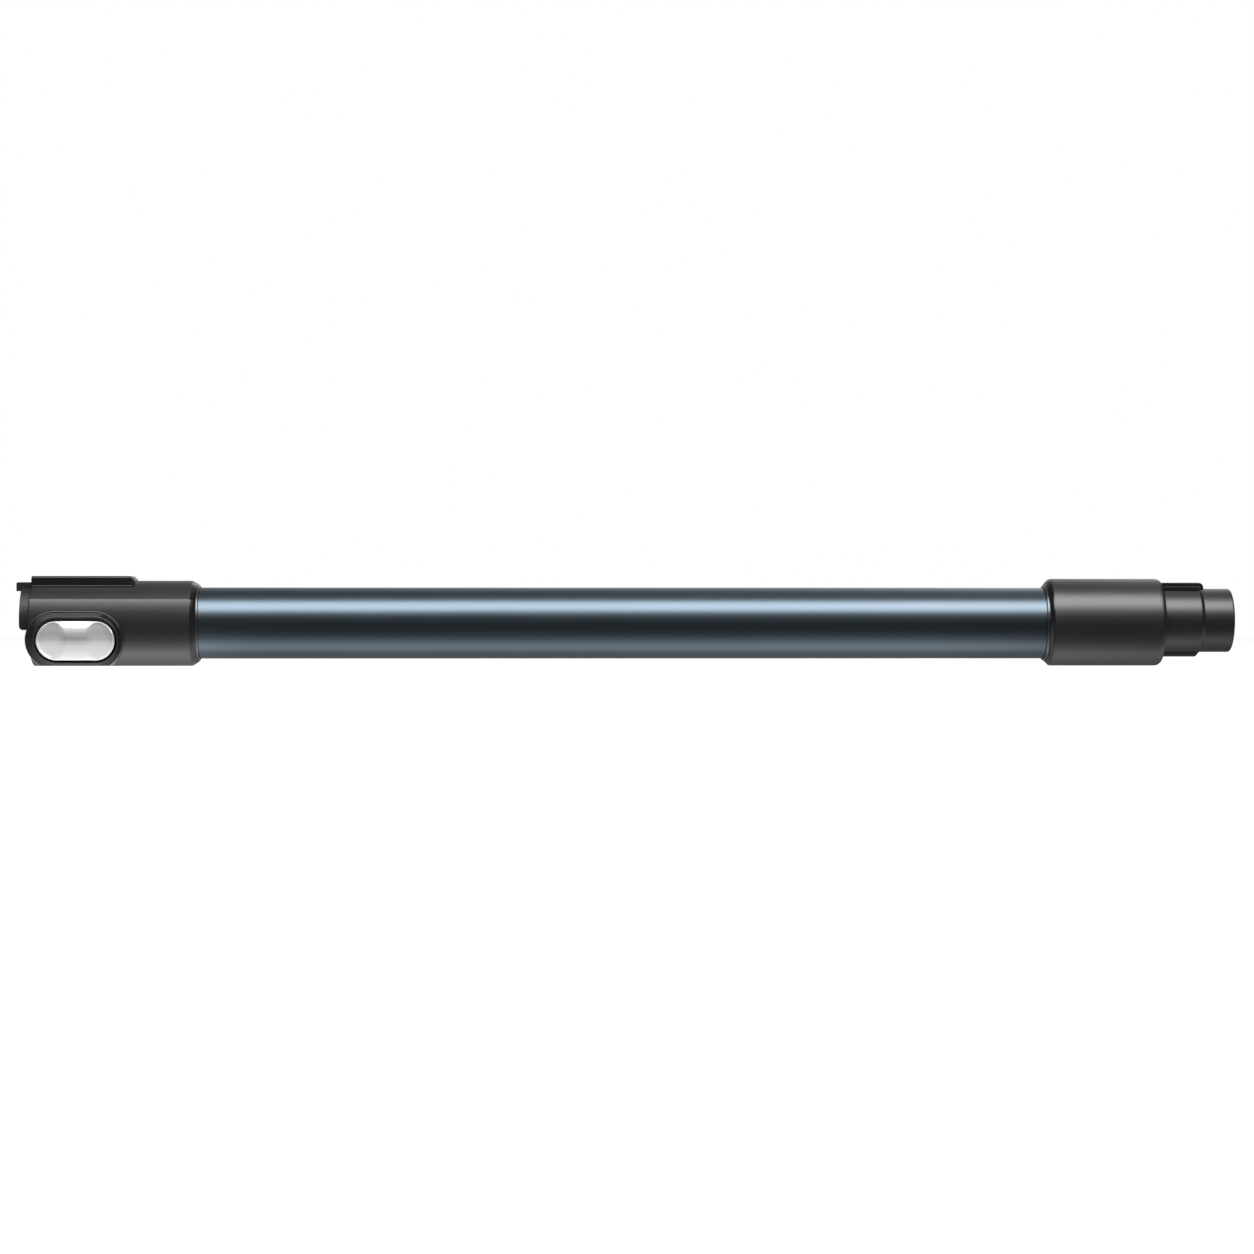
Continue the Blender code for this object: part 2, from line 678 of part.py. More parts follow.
def make_leaf_contact(axis, name, y):
    """A leaf spring that lies on the carrier and bows down into the keyway, over the plug's strip."""
    start = MOUTH_X + LEAF_FROM_MOUTH
    root = CARRIER_X
    end = CARRIER_X + CARRIER_LENGTH
    top = COVER_CEILING - FIT
    steps = 12
    row = []
    for index in range(steps + 1):
        share = index / steps
        row.append((start + (root - start) * share, top - LEAF_BOW * math.sin(math.pi * share) ** 2))
    row.append((end, top))
    outline = row + [(x, z - LEAF_THICKNESS) for x, z in reversed(row)]
    data = extruded_y(name, outline, y - STRIP_WIDTH / 2, y + STRIP_WIDTH / 2)
    return finish(name, data, brass(), axis)


# Release button, its bezel and its lever
def bezel_ring(offset):
    """Stations (x, z) of a line on the bezel, whose flange is wider towards the mouth."""
    shift = BEZEL_LEAN * (offset - BUTTON_GAP) / (BEZEL_WIDTH - BUTTON_GAP)
    return [(x - shift, z) for x, z in pill(offset)]


def make_bezel(axis):
    profile = ((BEZEL_WIDTH, 1.4), (BEZEL_WIDTH - 0.8 * MM, -0.15), (BEZEL_WIDTH - 2.0 * MM, 0.25),
               (BUTTON_GAP + 1.2 * MM, -0.3), (BUTTON_GAP + 0.3 * MM, -0.05), (BUTTON_GAP, 0.3))
    shape = bmesh.new()
    rings = []
    for offset in (BUTTON_GAP, BEZEL_WIDTH):
        rings.append([shape.verts.new((x, -BEZEL_BACK, z)) for x, z in bezel_ring(offset)])
    for offset, sink in profile:
        rings.append([shape.verts.new((x, bezel_face(z) + sink * MM, z)) for x, z in bezel_ring(offset)])
    for lower, upper in zip(rings, rings[1:] + rings[:1]):
        for index in range(len(lower)):
            after = (index + 1) % len(lower)
            shape.faces.new((lower[index], lower[after], upper[after], upper[index]))
    item = finish("button_bezel", make_mesh("button_bezel", shape), satin_black(), axis)
    lug_gap = LEVER_HALF_WIDTH + FIT
    for name, low in (("lug_left", BUTTON_X - lug_gap - LUG_THICKNESS), ("lug_right", BUTTON_X + lug_gap)):
        lug_foot = -BUTTON_DROP - BUTTON_HALF_HEIGHT - LUG_ROOT
        lug = block(name, (low, -PIN_REACH - LUG_FRONT, lug_foot),
                    (low + LUG_THICKNESS, -WINDOW_BACK - 1.0 * MM, -PIN_DROP + LUG_RISE))
        add(item, cutter(lug, axis))
    hole_outline = [(-PIN_REACH + y, -PIN_DROP + z) for y, z in circle(PIN_RADIUS + FIT, 0.0, 16)]
    hole = extruded_x("pin_hole", hole_outline, BUTTON_X - BEYOND / 3, BUTTON_X + BEYOND / 3)
    cut(item, cutter(hole, axis))
    shell = extruded_x("housing_around", housing_outline(FIT), MOUTH_X - BEYOND, HOUSING_END_X)
    around = cutter(shell, axis)
    through = extruded_y("skirt_room", pill(BEZEL_SKIRT), -BEYOND, -WINDOW_BACK - FIT)
    cut(around, cutter(through, axis))
    cut(item, around)
    inside = extruded_x("sleeve_around", circle(CAVITY_RADIUS, SPIGOT_RISE), MOUTH_X - BEYOND, HOUSING_END_X)
    cut(item, cutter(inside, axis))
    beside = extruded_x("tube_around", circle(TUBE_RADIUS + FIT), TUBE_START_X - FIT, HOUSING_END_X)
    cut(item, cutter(beside, axis))
    ground = block("ground", (MOUTH_X - BEYOND, -BEYOND, -BEYOND),
                   (HOUSING_END_X, BEYOND, -AXIS_HEIGHT + BEZEL_FLOOR))
    cut(item, cutter(ground, axis))
    return item


def make_release_button(pivot):
    """A thin shell of even thickness, pill-shaped from the front."""
    shape = bmesh.new()
    straight = BUTTON_HALF_LENGTH - BUTTON_HALF_HEIGHT
    columns = []
    cap_steps = 7
    for side in (-1, 1):
        for index in range(cap_steps + 1):
            angle = math.radians(4.0 + 86.0 * index / cap_steps)
            reach = straight + BUTTON_HALF_HEIGHT * math.cos(angle)
            columns.append((side * reach, BUTTON_HALF_HEIGHT * math.sin(angle)))
    for index in range(1, 5):
        columns.append((straight * (2 * index / 5 - 1), BUTTON_HALF_HEIGHT))
    columns.sort()
    rows = 10
    outer = []
    inner = []
    for x, half in columns:
        front = []
        back = []
        for index in range(rows + 1):
            z = -BUTTON_DROP + half * math.sin(math.pi / 2 * (2 * index / rows - 1))
            y = button_face(BUTTON_X + x, z)
            front.append(shape.verts.new((x, y + PIN_REACH, z + PIN_DROP)))
            back.append(shape.verts.new((x, y + BUTTON_SHELL + PIN_REACH, z + PIN_DROP)))
        outer.append(front)
        inner.append(back)
    for sheet in (outer, inner):
        for here, there in zip(sheet, sheet[1:]):
            for index in range(rows):
                shape.faces.new((here[index], here[index + 1], there[index + 1], there[index]))
    for front, back in ((outer[0], inner[0]), (outer[-1], inner[-1])):
        for index in range(rows):
            shape.faces.new((front[index], front[index + 1], back[index + 1], back[index]))
    for row in (0, rows):
        for index in range(len(outer) - 1):
            corners = (outer[index][row], outer[index + 1][row], inner[index + 1][row], inner[index][row])
            shape.faces.new(corners)
    return finish("release_button", make_mesh("release_button", shape), satin_silver(), pivot)


def make_latch_lever(pivot):
    """Hub on the pin, a plate behind the button and an arm under the sleeve with the tooth at its end."""
    hub_radius = PIN_RADIUS + FIT + HUB_WALL
    hub = extruded_x("latch_lever", circle(hub_radius, 0.0, 20), -LEVER_HALF_WIDTH, COIL_START)
    item = finish("latch_lever", hub, satin_black(), pivot)
    foot = -PIN_DROP + PLATE_FOOT
    top = -BUTTON_DROP + PLATE_RISE
    front = []
    back = []
    for index in range(6):
        z = foot + (top - foot) * index / 5
        crown = BUTTON_CROWN - math.sqrt(BUTTON_CROWN ** 2 - (z + BUTTON_CROWN_DROP) ** 2)
        y = -BUTTON_REACH + crown + BUTTON_SHELL + FIT + PIN_REACH
        front.append((y, z + PIN_DROP))
        back.append((y + PLATE_THICKNESS, z + PIN_DROP))
    plate = extruded_x("lever_plate", front + back[::-1], -PLATE_HALF, PLATE_HALF)
    add(item, cutter(plate, pivot))
    web_outline = [front[0], (0.4 * MM, -0.4 * MM), (0.4 * MM, 1.5 * MM), back[2]]
    web = extruded_x("lever_web", web_outline, -PLATE_HALF / 2, PLATE_HALF / 2)
    add(item, cutter(web, pivot))
    tooth_shift = TOOTH_X - BUTTON_X
    arm_top = SLEEVE_RADIUS + 2 * FIT
    centre = (PIN_REACH, SPIGOT_RISE + PIN_DROP)
    upper = arc(centre, arm_top, ARM_START, ARM_END, 8)
    lower = []
    for index, (y, z) in enumerate(upper):
        thickness = ARM_THICKNESS + (ARM_ROOT_THICKNESS - ARM_THICKNESS) * index / 8
        stretch = 1 + thickness / arm_top
        lower.append((centre[0] + (y - centre[0]) * stretch, centre[1] + (z - centre[1]) * stretch))
    arm = extruded_x("lever_arm", upper + lower[::-1], tooth_shift - ARM_WIDTH / 2,
                     tooth_shift + ARM_WIDTH / 2)
    add(item, cutter(arm, pivot))
    base = centre[1] - arm_top - TOOTH_ROOT
    half = ARM_WIDTH / 2 - 0.1 * MM
    tooth = block("lever_tooth", (tooth_shift - half, centre[0] - TOOTH_HALF, base),
                  (tooth_shift + half, centre[0] + TOOTH_HALF, base + TOOTH_HEIGHT))
    add(item, cutter(tooth, pivot))
    hole = extruded_x("hub_hole", circle(PIN_RADIUS + FIT, 0.0, 16), -BEYOND, BEYOND)
    cut(item, cutter(hole, pivot))
    return item


def make_lever_pin(axis):
    outline = [(-PIN_REACH + y, -PIN_DROP + z) for y, z in circle(PIN_RADIUS, 0.0, 16)]
    half = LEVER_HALF_WIDTH + FIT + LUG_THICKNESS
    data = extruded_x("lever_pin", outline, BUTTON_X - half, BUTTON_X + half)
    return finish("lever_pin", data, spring_steel(), axis)


def make_lever_spring(pivot):
    """A torsion spring round the pin: one leg behind the lever's plate, the other on the bezel's floor."""
    coil_radius = PIN_RADIUS + FIT + SPRING_WIRE + 0.1 * MM
    start_x = COIL_START + FIT + SPRING_WIRE
    steps_per_turn = 12
    plate_back = PIN_REACH - BUTTON_REACH + BUTTON_SHELL + FIT + PLATE_THICKNESS
    floor = PIN_DROP - BUTTON_DROP - BUTTON_HALF_HEIGHT - BUTTON_GAP
    route = [(PLATE_HALF - 1.2 * MM, plate_back + 1.0 * MM, 6.8 * MM),
             (start_x, plate_back + 1.3 * MM, 6.4 * MM), (start_x, -2.4 * MM, 3.0 * MM)]
    for index in range(SPRING_TURNS * steps_per_turn + steps_per_turn // 2 + 1):
        turn = index / steps_per_turn
        angle = math.pi / 2 - 2 * math.pi * turn
        route.append((start_x + SPRING_PITCH * turn, coil_radius * math.cos(angle),
                      coil_radius * math.sin(angle)))
    last_x = route[-1][0]
    leg_z = floor + 2 * FIT
    route += [(last_x, -1.8 * MM, leg_z + 0.2 * MM), (last_x, -4.2 * MM, leg_z)]
    curve = bpy.data.curves.new("lever_spring", "CURVE")
    curve.dimensions = "3D"
    curve.bevel_depth = SPRING_WIRE
    curve.bevel_resolution = 1
    curve.use_fill_caps = True
    spline = curve.splines.new("POLY")
    spline.points.add(len(route) - 1)
    for point, place in zip(spline.points, route):
        point.co = (*place, 1.0)
    item = bpy.data.objects.new("lever_spring", curve)
    bpy.context.scene.collection.objects.link(item)
    item.parent = pivot
    curve.materials.append(spring_steel())
    return item


# Spigot end
def make_nozzle_collar(axis):
    """The collar over the tube's other end, with a deep groove in its end face round the neck."""
    start = COLLAR_X + COLLAR_SETBACK
    mouth_radius = RING_SEAT_RADIUS + FIT
    sections = [(start, circle(mouth_radius, COLLAR_RISE)),
                (start + COLLAR_CHAMFER, circle(COLLAR_RADIUS, COLLAR_RISE))]
    edge_steps = 3
    for index in range(edge_steps + 1):
        angle = math.pi / 2 * index / edge_steps
        x = COLLAR_END_X - COLLAR_EDGE * (1 - math.sin(angle))
        radius = COLLAR_RADIUS - COLLAR_EDGE_DROP * (1 - math.cos(angle))
        sections.append((x, circle(radius, COLLAR_RISE)))
    item = finish("nozzle_collar", loft("nozzle_collar", sections), satin_black(), axis)
    bore = extruded_x("collar_bore", circle(TUBE_RADIUS + FIT), COLLAR_X - BEYOND, TUBE_END_X + FIT)
    cut(item, cutter(bore, axis))
    seat = extruded_x("collar_ring_seat", circle(RING_SEAT_RADIUS), COLLAR_X - BEYOND,
                      COLLAR_X + TRIM_RING_LENGTH + FIT)
    cut(item, cutter(seat, axis))
    chamber = extruded_x("collar_chamber", circle(FLANGE_RADIUS + FIT, SPIGOT_RISE),
                         TUBE_END_X - FIT, SHOULDER_X)
    cut(item, cutter(chamber, axis))
    neck_hole = extruded_x("collar_neck_hole", circle(NECK_RADIUS + FIT, SPIGOT_RISE),
                           TUBE_END_X, COLLAR_END_X)
    cut(item, cutter(neck_hole, axis))
    groove = extruded_x("collar_groove", circle(COLLAR_GROOVE_RADIUS, COLLAR_RISE),
                        GROOVE_X, COLLAR_END_X + BEYOND)
    cut(item, cutter(groove, axis))
    return item


def make_nozzle_spigot(axis):
    """Neck and nose in one piece, with a flange inside the collar, a groove for the wires, and a rib
    below with the catch for a latch tooth."""
    bore = NOSE_BORE_RADIUS
    outer = [(FLANGE_X, FLANGE_RADIUS), (FLANGE_X + FLANGE_LENGTH, FLANGE_RADIUS),
             (FLANGE_X + FLANGE_LENGTH, NECK_RADIUS), (NECK_END_X - NECK_CHAMFER, NECK_RADIUS),
             (NECK_END_X, NOSE_RADIUS)]
    round_off = 0.3 * NOSE_EDGE
    outer += [(NOSE_END_X - NOSE_EDGE, NOSE_RADIUS), (NOSE_END_X - round_off, NOSE_RADIUS - round_off),
              (NOSE_END_X, NOSE_RADIUS - NOSE_EDGE)]
    inner = [(NOSE_END_X, bore + NOSE_LEAD / 2), (NOSE_END_X - NOSE_LEAD, bore), (FLANGE_X + FLANGE_LEAD, bore),
             (FLANGE_X, bore + FLANGE_LEAD)]
    body = turned("nozzle_spigot", outer + inner, SPIGOT_RISE)
    item = finish("nozzle_spigot", body, satin_black(), axis)
    rib_top = SPIGOT_RISE - NECK_RADIUS + RIB_ROOT
    rib_foot = SPIGOT_RISE - RIB_REACH
    rib_outline = [(GROOVE_X + FIT, rib_top), (NECK_END_X - FIT, rib_top), (NECK_END_X - RIB_SLOPE, rib_foot),
                   (GROOVE_X + FIT, rib_foot)]
    add(item, cutter(extruded_y("neck_rib", rib_outline, -RIB_HALF, RIB_HALF), axis))
    half = WIRE_SPACING / 2 + WIRE_RADIUS + FIT
    groove = block("wire_groove", (FLANGE_X - BEYOND, -half, groove_floor()),
                   (wire_end_x() + FIT, half, BEYOND))
    cut(item, cutter(groove, axis))
    catch_x = COLLAR_END_X + TOOTH_FROM_MOUTH
    catch_half = ARM_WIDTH / 2 + 2 * FIT
    catch = block("catch", (catch_x - catch_half, -CATCH_HALF, -BEYOND),
                  (catch_x + catch_half, CATCH_HALF, SPIGOT_RISE - NECK_RADIUS + CATCH_DEPTH))
    cut(item, cutter(catch, axis))
    return item


def make_spigot_seal(axis):
    start = FLANGE_X + FLANGE_LENGTH + FIT
    end = start + SPIGOT_SEAL_LENGTH
    inner = NECK_RADIUS + FIT
    profile = [(start, inner), (end, inner), (end, FLANGE_RADIUS), (start, FLANGE_RADIUS)]
    return finish("spigot_seal", turned("spigot_seal", profile, SPIGOT_RISE), soft_rubber(), axis)


def key_outline(top, bottom):
    """Points (x, z) of the plug from the side, with its free upper corner rounded."""
    start = COLLAR_END_X + FIT
    end = NECK_END_X + KEY_OVERHANG
    corner = arc((end - KEY_CORNER, top - KEY_CORNER), KEY_CORNER, 0.0, math.pi / 2, 4)
    return [(start, bottom), (end, bottom)] + corner + [(start, top)]


def make_keyed_plug(axis):
    """The key along the neck: a wide foot, a narrower head and two sunk contact strips."""
    bottom = SPIGOT_RISE + NECK_RADIUS * 0.8
    head = extruded_y("keyed_plug", key_outline(KEY_TOP, bottom), -KEY_HALF, KEY_HALF)
    item = finish("keyed_plug", head, gloss_black(), axis)
    foot = extruded_y("key_foot", key_outline(KEY_FOOT_TOP, bottom), -KEY_FOOT_HALF, KEY_FOOT_HALF)
    add(item, cutter(foot, axis))
    saddle = extruded_x("key_saddle", circle(NECK_RADIUS + FIT, SPIGOT_RISE), COLLAR_END_X - BEYOND,
                        NECK_END_X + BEYOND)
    cut(item, cutter(saddle, axis))
    half = STRIP_WIDTH / 2 + FIT
    for name, y in (("strip_seat_front", -STRIP_SPACING), ("strip_seat_back", STRIP_SPACING)):
        low, high = strip_span()
        seat = block(name, (low - FIT, y - half, KEY_TOP - STRIP_THICKNESS - FIT),
                     (high + FIT, y + half, BEYOND))
        cut(item, cutter(seat, axis))
    return item


def strip_span():
    end = NECK_END_X + KEY_OVERHANG - KEY_CORNER - STRIP_FROM_CORNER
    return end - STRIP_LENGTH, end


def make_contact_strip(axis, name, y):
    low, high = strip_span()
    half = STRIP_WIDTH / 2
    body = block(name, (low, y - half, KEY_TOP - STRIP_THICKNESS), (high, y + half, KEY_TOP))
    item = finish(name, body, brass(), axis, smooth=False)
    soften(item, 0.15 * MM)
    return item


def main():
    clear_scene()
    axis = add_empty("wand_axis", (0.0, AXIS_Y, AXIS_HEIGHT))
    make_tube(axis)
    make_wire_channel(axis)
    make_wire(axis, "wire_front", -WIRE_SPACING / 2)
    make_wire(axis, "wire_back", WIRE_SPACING / 2)
    make_trim_ring(axis, "socket_trim_ring", HOUSING_END_X + TRIM_RING_PROUD - TRIM_RING_LENGTH)
    make_socket_housing(axis)
    make_rail_cover(axis)
    make_socket_sleeve(axis)
    make_nose_seal(axis)
    make_contact_carrier(axis)
    make_leaf_contact(axis, "leaf_contact_front", -STRIP_SPACING)
    make_leaf_contact(axis, "leaf_contact_back", STRIP_SPACING)
    make_bezel(axis)
    pivot = add_empty("lever_pivot", (BUTTON_X, -PIN_REACH, -PIN_DROP))
    pivot.parent = axis
    make_release_button(pivot)
    make_latch_lever(pivot)
    make_lever_pin(axis)
    make_lever_spring(pivot)
    make_trim_ring(axis, "nozzle_trim_ring", COLLAR_X)
    make_nozzle_collar(axis)
    make_nozzle_spigot(axis)
    make_spigot_seal(axis)
    make_keyed_plug(axis)
    make_contact_strip(axis, "contact_strip_front", -STRIP_SPACING)
    make_contact_strip(axis, "contact_strip_back", STRIP_SPACING)


main()
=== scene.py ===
"""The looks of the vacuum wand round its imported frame: finer pieces, finishes, studio and camera."""
import math

import bmesh
import bpy
from mathutils import Matrix, Vector


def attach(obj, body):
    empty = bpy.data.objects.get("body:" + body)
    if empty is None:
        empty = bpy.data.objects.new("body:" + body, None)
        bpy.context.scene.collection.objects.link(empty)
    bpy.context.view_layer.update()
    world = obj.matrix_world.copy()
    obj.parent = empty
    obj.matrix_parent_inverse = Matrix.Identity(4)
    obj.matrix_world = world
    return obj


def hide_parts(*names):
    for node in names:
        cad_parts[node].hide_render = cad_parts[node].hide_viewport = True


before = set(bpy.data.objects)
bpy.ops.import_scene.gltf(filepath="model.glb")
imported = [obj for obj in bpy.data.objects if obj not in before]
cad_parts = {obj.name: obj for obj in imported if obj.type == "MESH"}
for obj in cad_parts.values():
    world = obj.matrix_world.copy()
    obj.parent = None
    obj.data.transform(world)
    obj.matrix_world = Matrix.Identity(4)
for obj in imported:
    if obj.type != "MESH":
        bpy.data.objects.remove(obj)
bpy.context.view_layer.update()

MM = 0.001
SIDES = 192
CAD_SIDES = 48
FLAT = math.cos(math.pi / CAD_SIDES)
FIT = 0.3 * MM
BEYOND = 60.0 * MM

# Sizes of the solids
TUBE_RADIUS = 19.0 * MM
TUBE_WALL = 1.0 * MM
TRIM_RING_WALL = 1.0 * MM
TRIM_RING_LENGTH = 3.0 * MM
TRIM_RING_PROUD = 0.9 * MM
RING_SEAT_RADIUS = TUBE_RADIUS + 2 * FIT + TRIM_RING_WALL
SPIGOT_RISE = 1.5 * MM
NECK_RADIUS = 18.0 * MM
NECK_LENGTH = 21.5 * MM
NECK_CHAMFER = 1.7 * MM
NOSE_RADIUS = 17.0 * MM
NOSE_BORE_RADIUS = 15.2 * MM
RIB_REACH = 19.45 * MM
RIB_HALF = 4.2 * MM
RIB_SLOPE = 2.9 * MM
CATCH_OFFSET = 17.0 * MM
CATCH_HALF_LENGTH = 2.8 * MM
CATCH_HALF_WIDTH = 2.6 * MM
CATCH_DEPTH = 1.2 * MM
FLANGE_RADIUS = 20.3 * MM
FLANGE_LENGTH = 6.0 * MM
WIRE_GROOVE_HALF = 3.1 * MM
COLLAR_RADIUS = 23.3 * MM
COLLAR_GROOVE_RADIUS = 21.3 * MM
HOUSING_RADIUS = 22.8 * MM
HOUSING_CHAMFER = 3.1 * MM
FRONT_RADIUS = 35.0 * MM
CREASE_HEIGHT = 12.4 * MM
SHOULDER_RADIUS = 45.0 * MM
SHOULDER_START = math.radians(45.0)
SHOULDER_END = math.radians(60.0)
SLOT_FOOT = 17.0 * MM
SLEEVE_BORE = 18.35 * MM
SLEEVE_RADIUS = 19.5 * MM
SLEEVE_NOSE_BORE = 17.35 * MM
SLEEVE_WALL = 1.15 * MM
RIB_SLOT_HALF = RIB_HALF + 0.35 * MM
CAVITY_RADIUS = 19.8 * MM
GUIDE_REACH = 7.9 * MM
GUIDE_FOOT = 16.2 * MM
GUIDE_HALF = 9.95 * MM
LUG_REACH = 5.2 * MM
LUG_FOOT = -3.7 * MM
KEYWAY_HALF = 8.95 * MM
KEY_TOP = 21.6 * MM
KEY_FOOT_TOP = 19.6 * MM
KEY_HALF = 7.6 * MM
KEY_FOOT_HALF = 8.6 * MM
KEY_OVERHANG = 0.8 * MM
KEY_CORNER = 2.6 * MM
CONTACT_LENGTH = 15.0 * MM
CONTACT_HALF = 1.5 * MM
CONTACT_THICKNESS = 0.8 * MM
CONTACT_OFFSET = 4.2 * MM
COVER_INNER_HALF = 10.25 * MM
COVER_HALF = 11.35 * MM
COVER_TOP = 24.9 * MM
COVER_ROOF = 1.5 * MM
BUTTON_DROP = 9.2 * MM
BUTTON_HALF_LENGTH = 20.55 * MM
BUTTON_HALF_HEIGHT = 10.44 * MM
BUTTON_REACH = 25.0 * MM
BUTTON_CROWN = 20.0 * MM
BUTTON_CROWN_DROP = 8.2 * MM
BUTTON_SHELL = 0.9 * MM
BUTTON_GAP = 0.8 * MM
DISH_RADIUS = 10.9 * MM
DISH_OFFSET = 15.4 * MM
BEZEL_REACH = 23.75 * MM
BEZEL_CROWN = 40.0 * MM
BEZEL_CROWN_DROP = 3.0 * MM
BEZEL_SKIRT = 2.7 * MM
BEZEL_WIDTH = 5.2 * MM
BEZEL_LEAN = 0.9 * MM
BEZEL_FLOOR = 0.45 * MM
BEZEL_BACK = 3.6 * MM
WINDOW_BACK = 10.0 * MM
POCKET_HALF = 2.8 * MM
POCKET_FLOOR = -21.2 * MM

# Places of the solids along the wand
MOUTH_X = -315.15 * MM
POCKET_X = -298.15 * MM
SLEEVE_STEP_X = -293.3 * MM
SLEEVE_END_X = -275.7 * MM
BUTTON_X = -290.25 * MM
TUBE_START_X = -266.6 * MM
HOUSING_END_X = -227.85 * MM
COLLAR_X = 222.35 * MM
TUBE_END_X = 259.35 * MM
FLANGE_X = 265.45 * MM
SHOULDER_X = 273.55 * MM
GROOVE_X = 276.05 * MM
COLLAR_END_X = 285.55 * MM
NECK_END_X = 307.05 * MM
NOSE_END_X = 323.05 * MM
AXIS_HEIGHT = HOUSING_RADIUS * FLAT
COLLAR_RISE = (COLLAR_RADIUS - HOUSING_RADIUS) * FLAT
AXIS_Y = (BUTTON_REACH - COLLAR_RADIUS * FLAT) / 2

# Sizes of the scene alone: finer than the solids, or closer to the photograph
HOUSING_RIM = 0.6 * MM
CREASE_ROUNDING = 0.2 * MM
SLOT_EDGE = 19.55 * MM
SLOT_FLARE = 3.0 * MM
BEAD_RADIUS = 0.35 * MM
COVER_END_X = -261.15 * MM
COVER_CHAMFER = 1.7 * MM
COVER_RIM = 0.9 * MM
COVER_EDGE = 1.2 * MM
COVER_END_SHARE = 0.86
LUG_CORNER = 2.0 * MM
TAB_CORNER = 0.9 * MM
GUIDE_CORNER = 0.6 * MM
BUTTON_FRONT = 24.96 * MM
BUTTON_RIM = 0.7 * MM
DISH_DEPTH = 2.2 * MM
DISH_FADE_START = 0.5 * MM
DISH_FADE_LENGTH = 1.1 * MM
COLLAR_START_X = COLLAR_X + 1.5 * MM
COLLAR_CHAMFER = 1.7 * MM
COLLAR_EDGE = 3.4 * MM
MOULDED_EDGE = 0.3 * MM

# Insets in millimetres of the rings of the button's cap, which lie close together at its rim
CAP_RIM_INSETS = (0.0, 0.02, 0.06, 0.13, 0.24, 0.38, 0.54, 0.7, 0.9, 1.15, 1.4)
CAP_STEP = 0.24
CAP_CORE = 10.42
CAP_BACK_INSETS = (CAP_CORE, 6.0, 1.0, 0.25, 0.0)
CAP_RIM = 0.7

# Painted shade over the button's height: base-colour tones that darken the dishes' upper halves and the
# saddle's middle as shading would, as points (share of the height, tone). The first two points of these and
# of the studio's ramps set the stops that a new ramp has, so the points keep their order.
DISH_PAINTED_SHADE = ((0.36, 1.0), (0.95, 0.55), (0.42, 0.93), (0.55, 0.66), (0.68, 0.57), (0.83, 0.63))
SADDLE_PAINTED_SHADE = ((0.34, 1.0), (0.87, 1.0), (0.42, 0.8), (0.56, 0.47), (0.66, 0.6), (0.76, 0.8))
SADDLE_HALF = 5.0 * MM
DISH_PAINTED_SHADE_START = 9.0 * MM

# Studio: the painted reflection, a floor strip that glows only in gloss, has points (millimetres across the
# wand, level) and (metres along it, level), and the room has points (part of the direction along Y or X,
# level)
FLOOR_HALF = 6.0
FLOOR_PAPER = 0.85
FLOOR_GLOW = 0.86
FLOOR_BOUNCE = 0.3
REFLECTION_STRIP_REACH = 100.0 * MM
REFLECTION_STRIP_ALONG = ((-0.34, 1.65), (-0.235, 1.65), (-0.2, 1.25), (0.16, 1.25), (0.34, 0.62))
REFLECTION_STRIP_PROFILE = ((-90.0, 0.05), (100.0, 0.5), (-60.0, 0.08), (-39.0, 0.14), (-28.0, 0.30),
                 (-24.0, 0.45), (-20.5, 0.62), (-17.5, 0.86), (-14.7, 0.92), (-12.0, 0.84),
                 (-9.5, 0.62), (-7.0, 0.43), (-3.6, 0.33), (1.0, 0.26), (12.0, 0.28), (40.0, 0.4))
ROOM_DEPTH = ((-0.1, 0.03), (0.1, 0.19), (0.5, 0.34), (0.62, 0.45), (0.8, 0.85), (0.95, 1.0))
ROOM_ENDS = ((-0.55, 0.1), (-0.25, 0.45), (-0.14, 0.62), (-0.08, 0.95), (0.13, 1.0), (0.18, 2.2),
             (0.3, 1.7), (0.55, 0.1))
SOFTBOX_LENGTH = 2.0
SOFTBOX_WIDTH = 0.70
SOFTBOX_POWER = 22.6
SOFTBOX_DISTANCE = 1.15
SOFTBOX_ELEVATION = math.radians(56.4)
CAMERA_LENS = 94.13
CAMERA_SENSOR = 36.0
CAMERA_SHIFT = 0.02
CAMERA_PLACE = (-0.05913, -1.749, 0.02069)
CAMERA_TURN = math.radians(1.5)


# Shapes
def side_angle(index):
    """The direction of a corner on a circle of the scene, from the lowest place round."""
    return -math.pi / 2 + math.pi / SIDES * (2 * index + 1)


def circle(radius, rise=0.0):
    """Points (y, z) of a circle that touches the CAD polygon's flats from inside."""
    points = []
    for index in range(SIDES):
        angle = side_angle(index)
        points.append((radius * FLAT * math.cos(angle), rise + radius * FLAT * math.sin(angle)))
    return points


def arc(centre, radius, start, end, steps):
    """Points of an arc between two angles, both ends included."""
    points = []
    for index in range(steps + 1):
        angle = start + (end - start) * index / steps
        points.append((centre[0] + radius * math.cos(angle), centre[1] + radius * math.sin(angle)))
    return points


def cut_corner(before, corner, after, reach, steps):
    """Points of a curve that rounds a corner, from the reach before it to the reach after it."""
    first = corner + (before - corner).normalized() * reach
    last = corner + (after - corner).normalized() * reach
    points = []
    for step in range(steps + 1):
        share = step / steps
        points.append(tuple(first * (1 - share) ** 2 + corner * 2 * share * (1 - share) + last * share ** 2))
    return points


def rim_steps(rim, steps):
    """Pairs (distance from the end, distance inside the outline) along a quarter-round rim."""
    pairs = []
    for index in range(steps + 1):
        angle = math.pi / 2 * index / steps
        pairs.append((rim * (1 - math.cos(angle)), rim * (1 - math.sin(angle))))
    return pairs


def grown(outline, growth):
    """The outline moved outwards, or inwards where the growth is negative."""
    result = []
    for index, (y, z) in enumerate(outline):
        before = Vector(outline[index - 1])
        after = Vector(outline[(index + 1) % len(outline)])
        along = (after - before).normalized()
        result.append((y + along.y * growth, z - along.x * growth))
    return result


def blended(outline, other, share):
    """The outline with every point moved by a share of the way to the other outline."""
    return [(a[0] + (b[0] - a[0]) * share, a[1] + (b[1] - a[1]) * share) for a, b in zip(outline, other)]


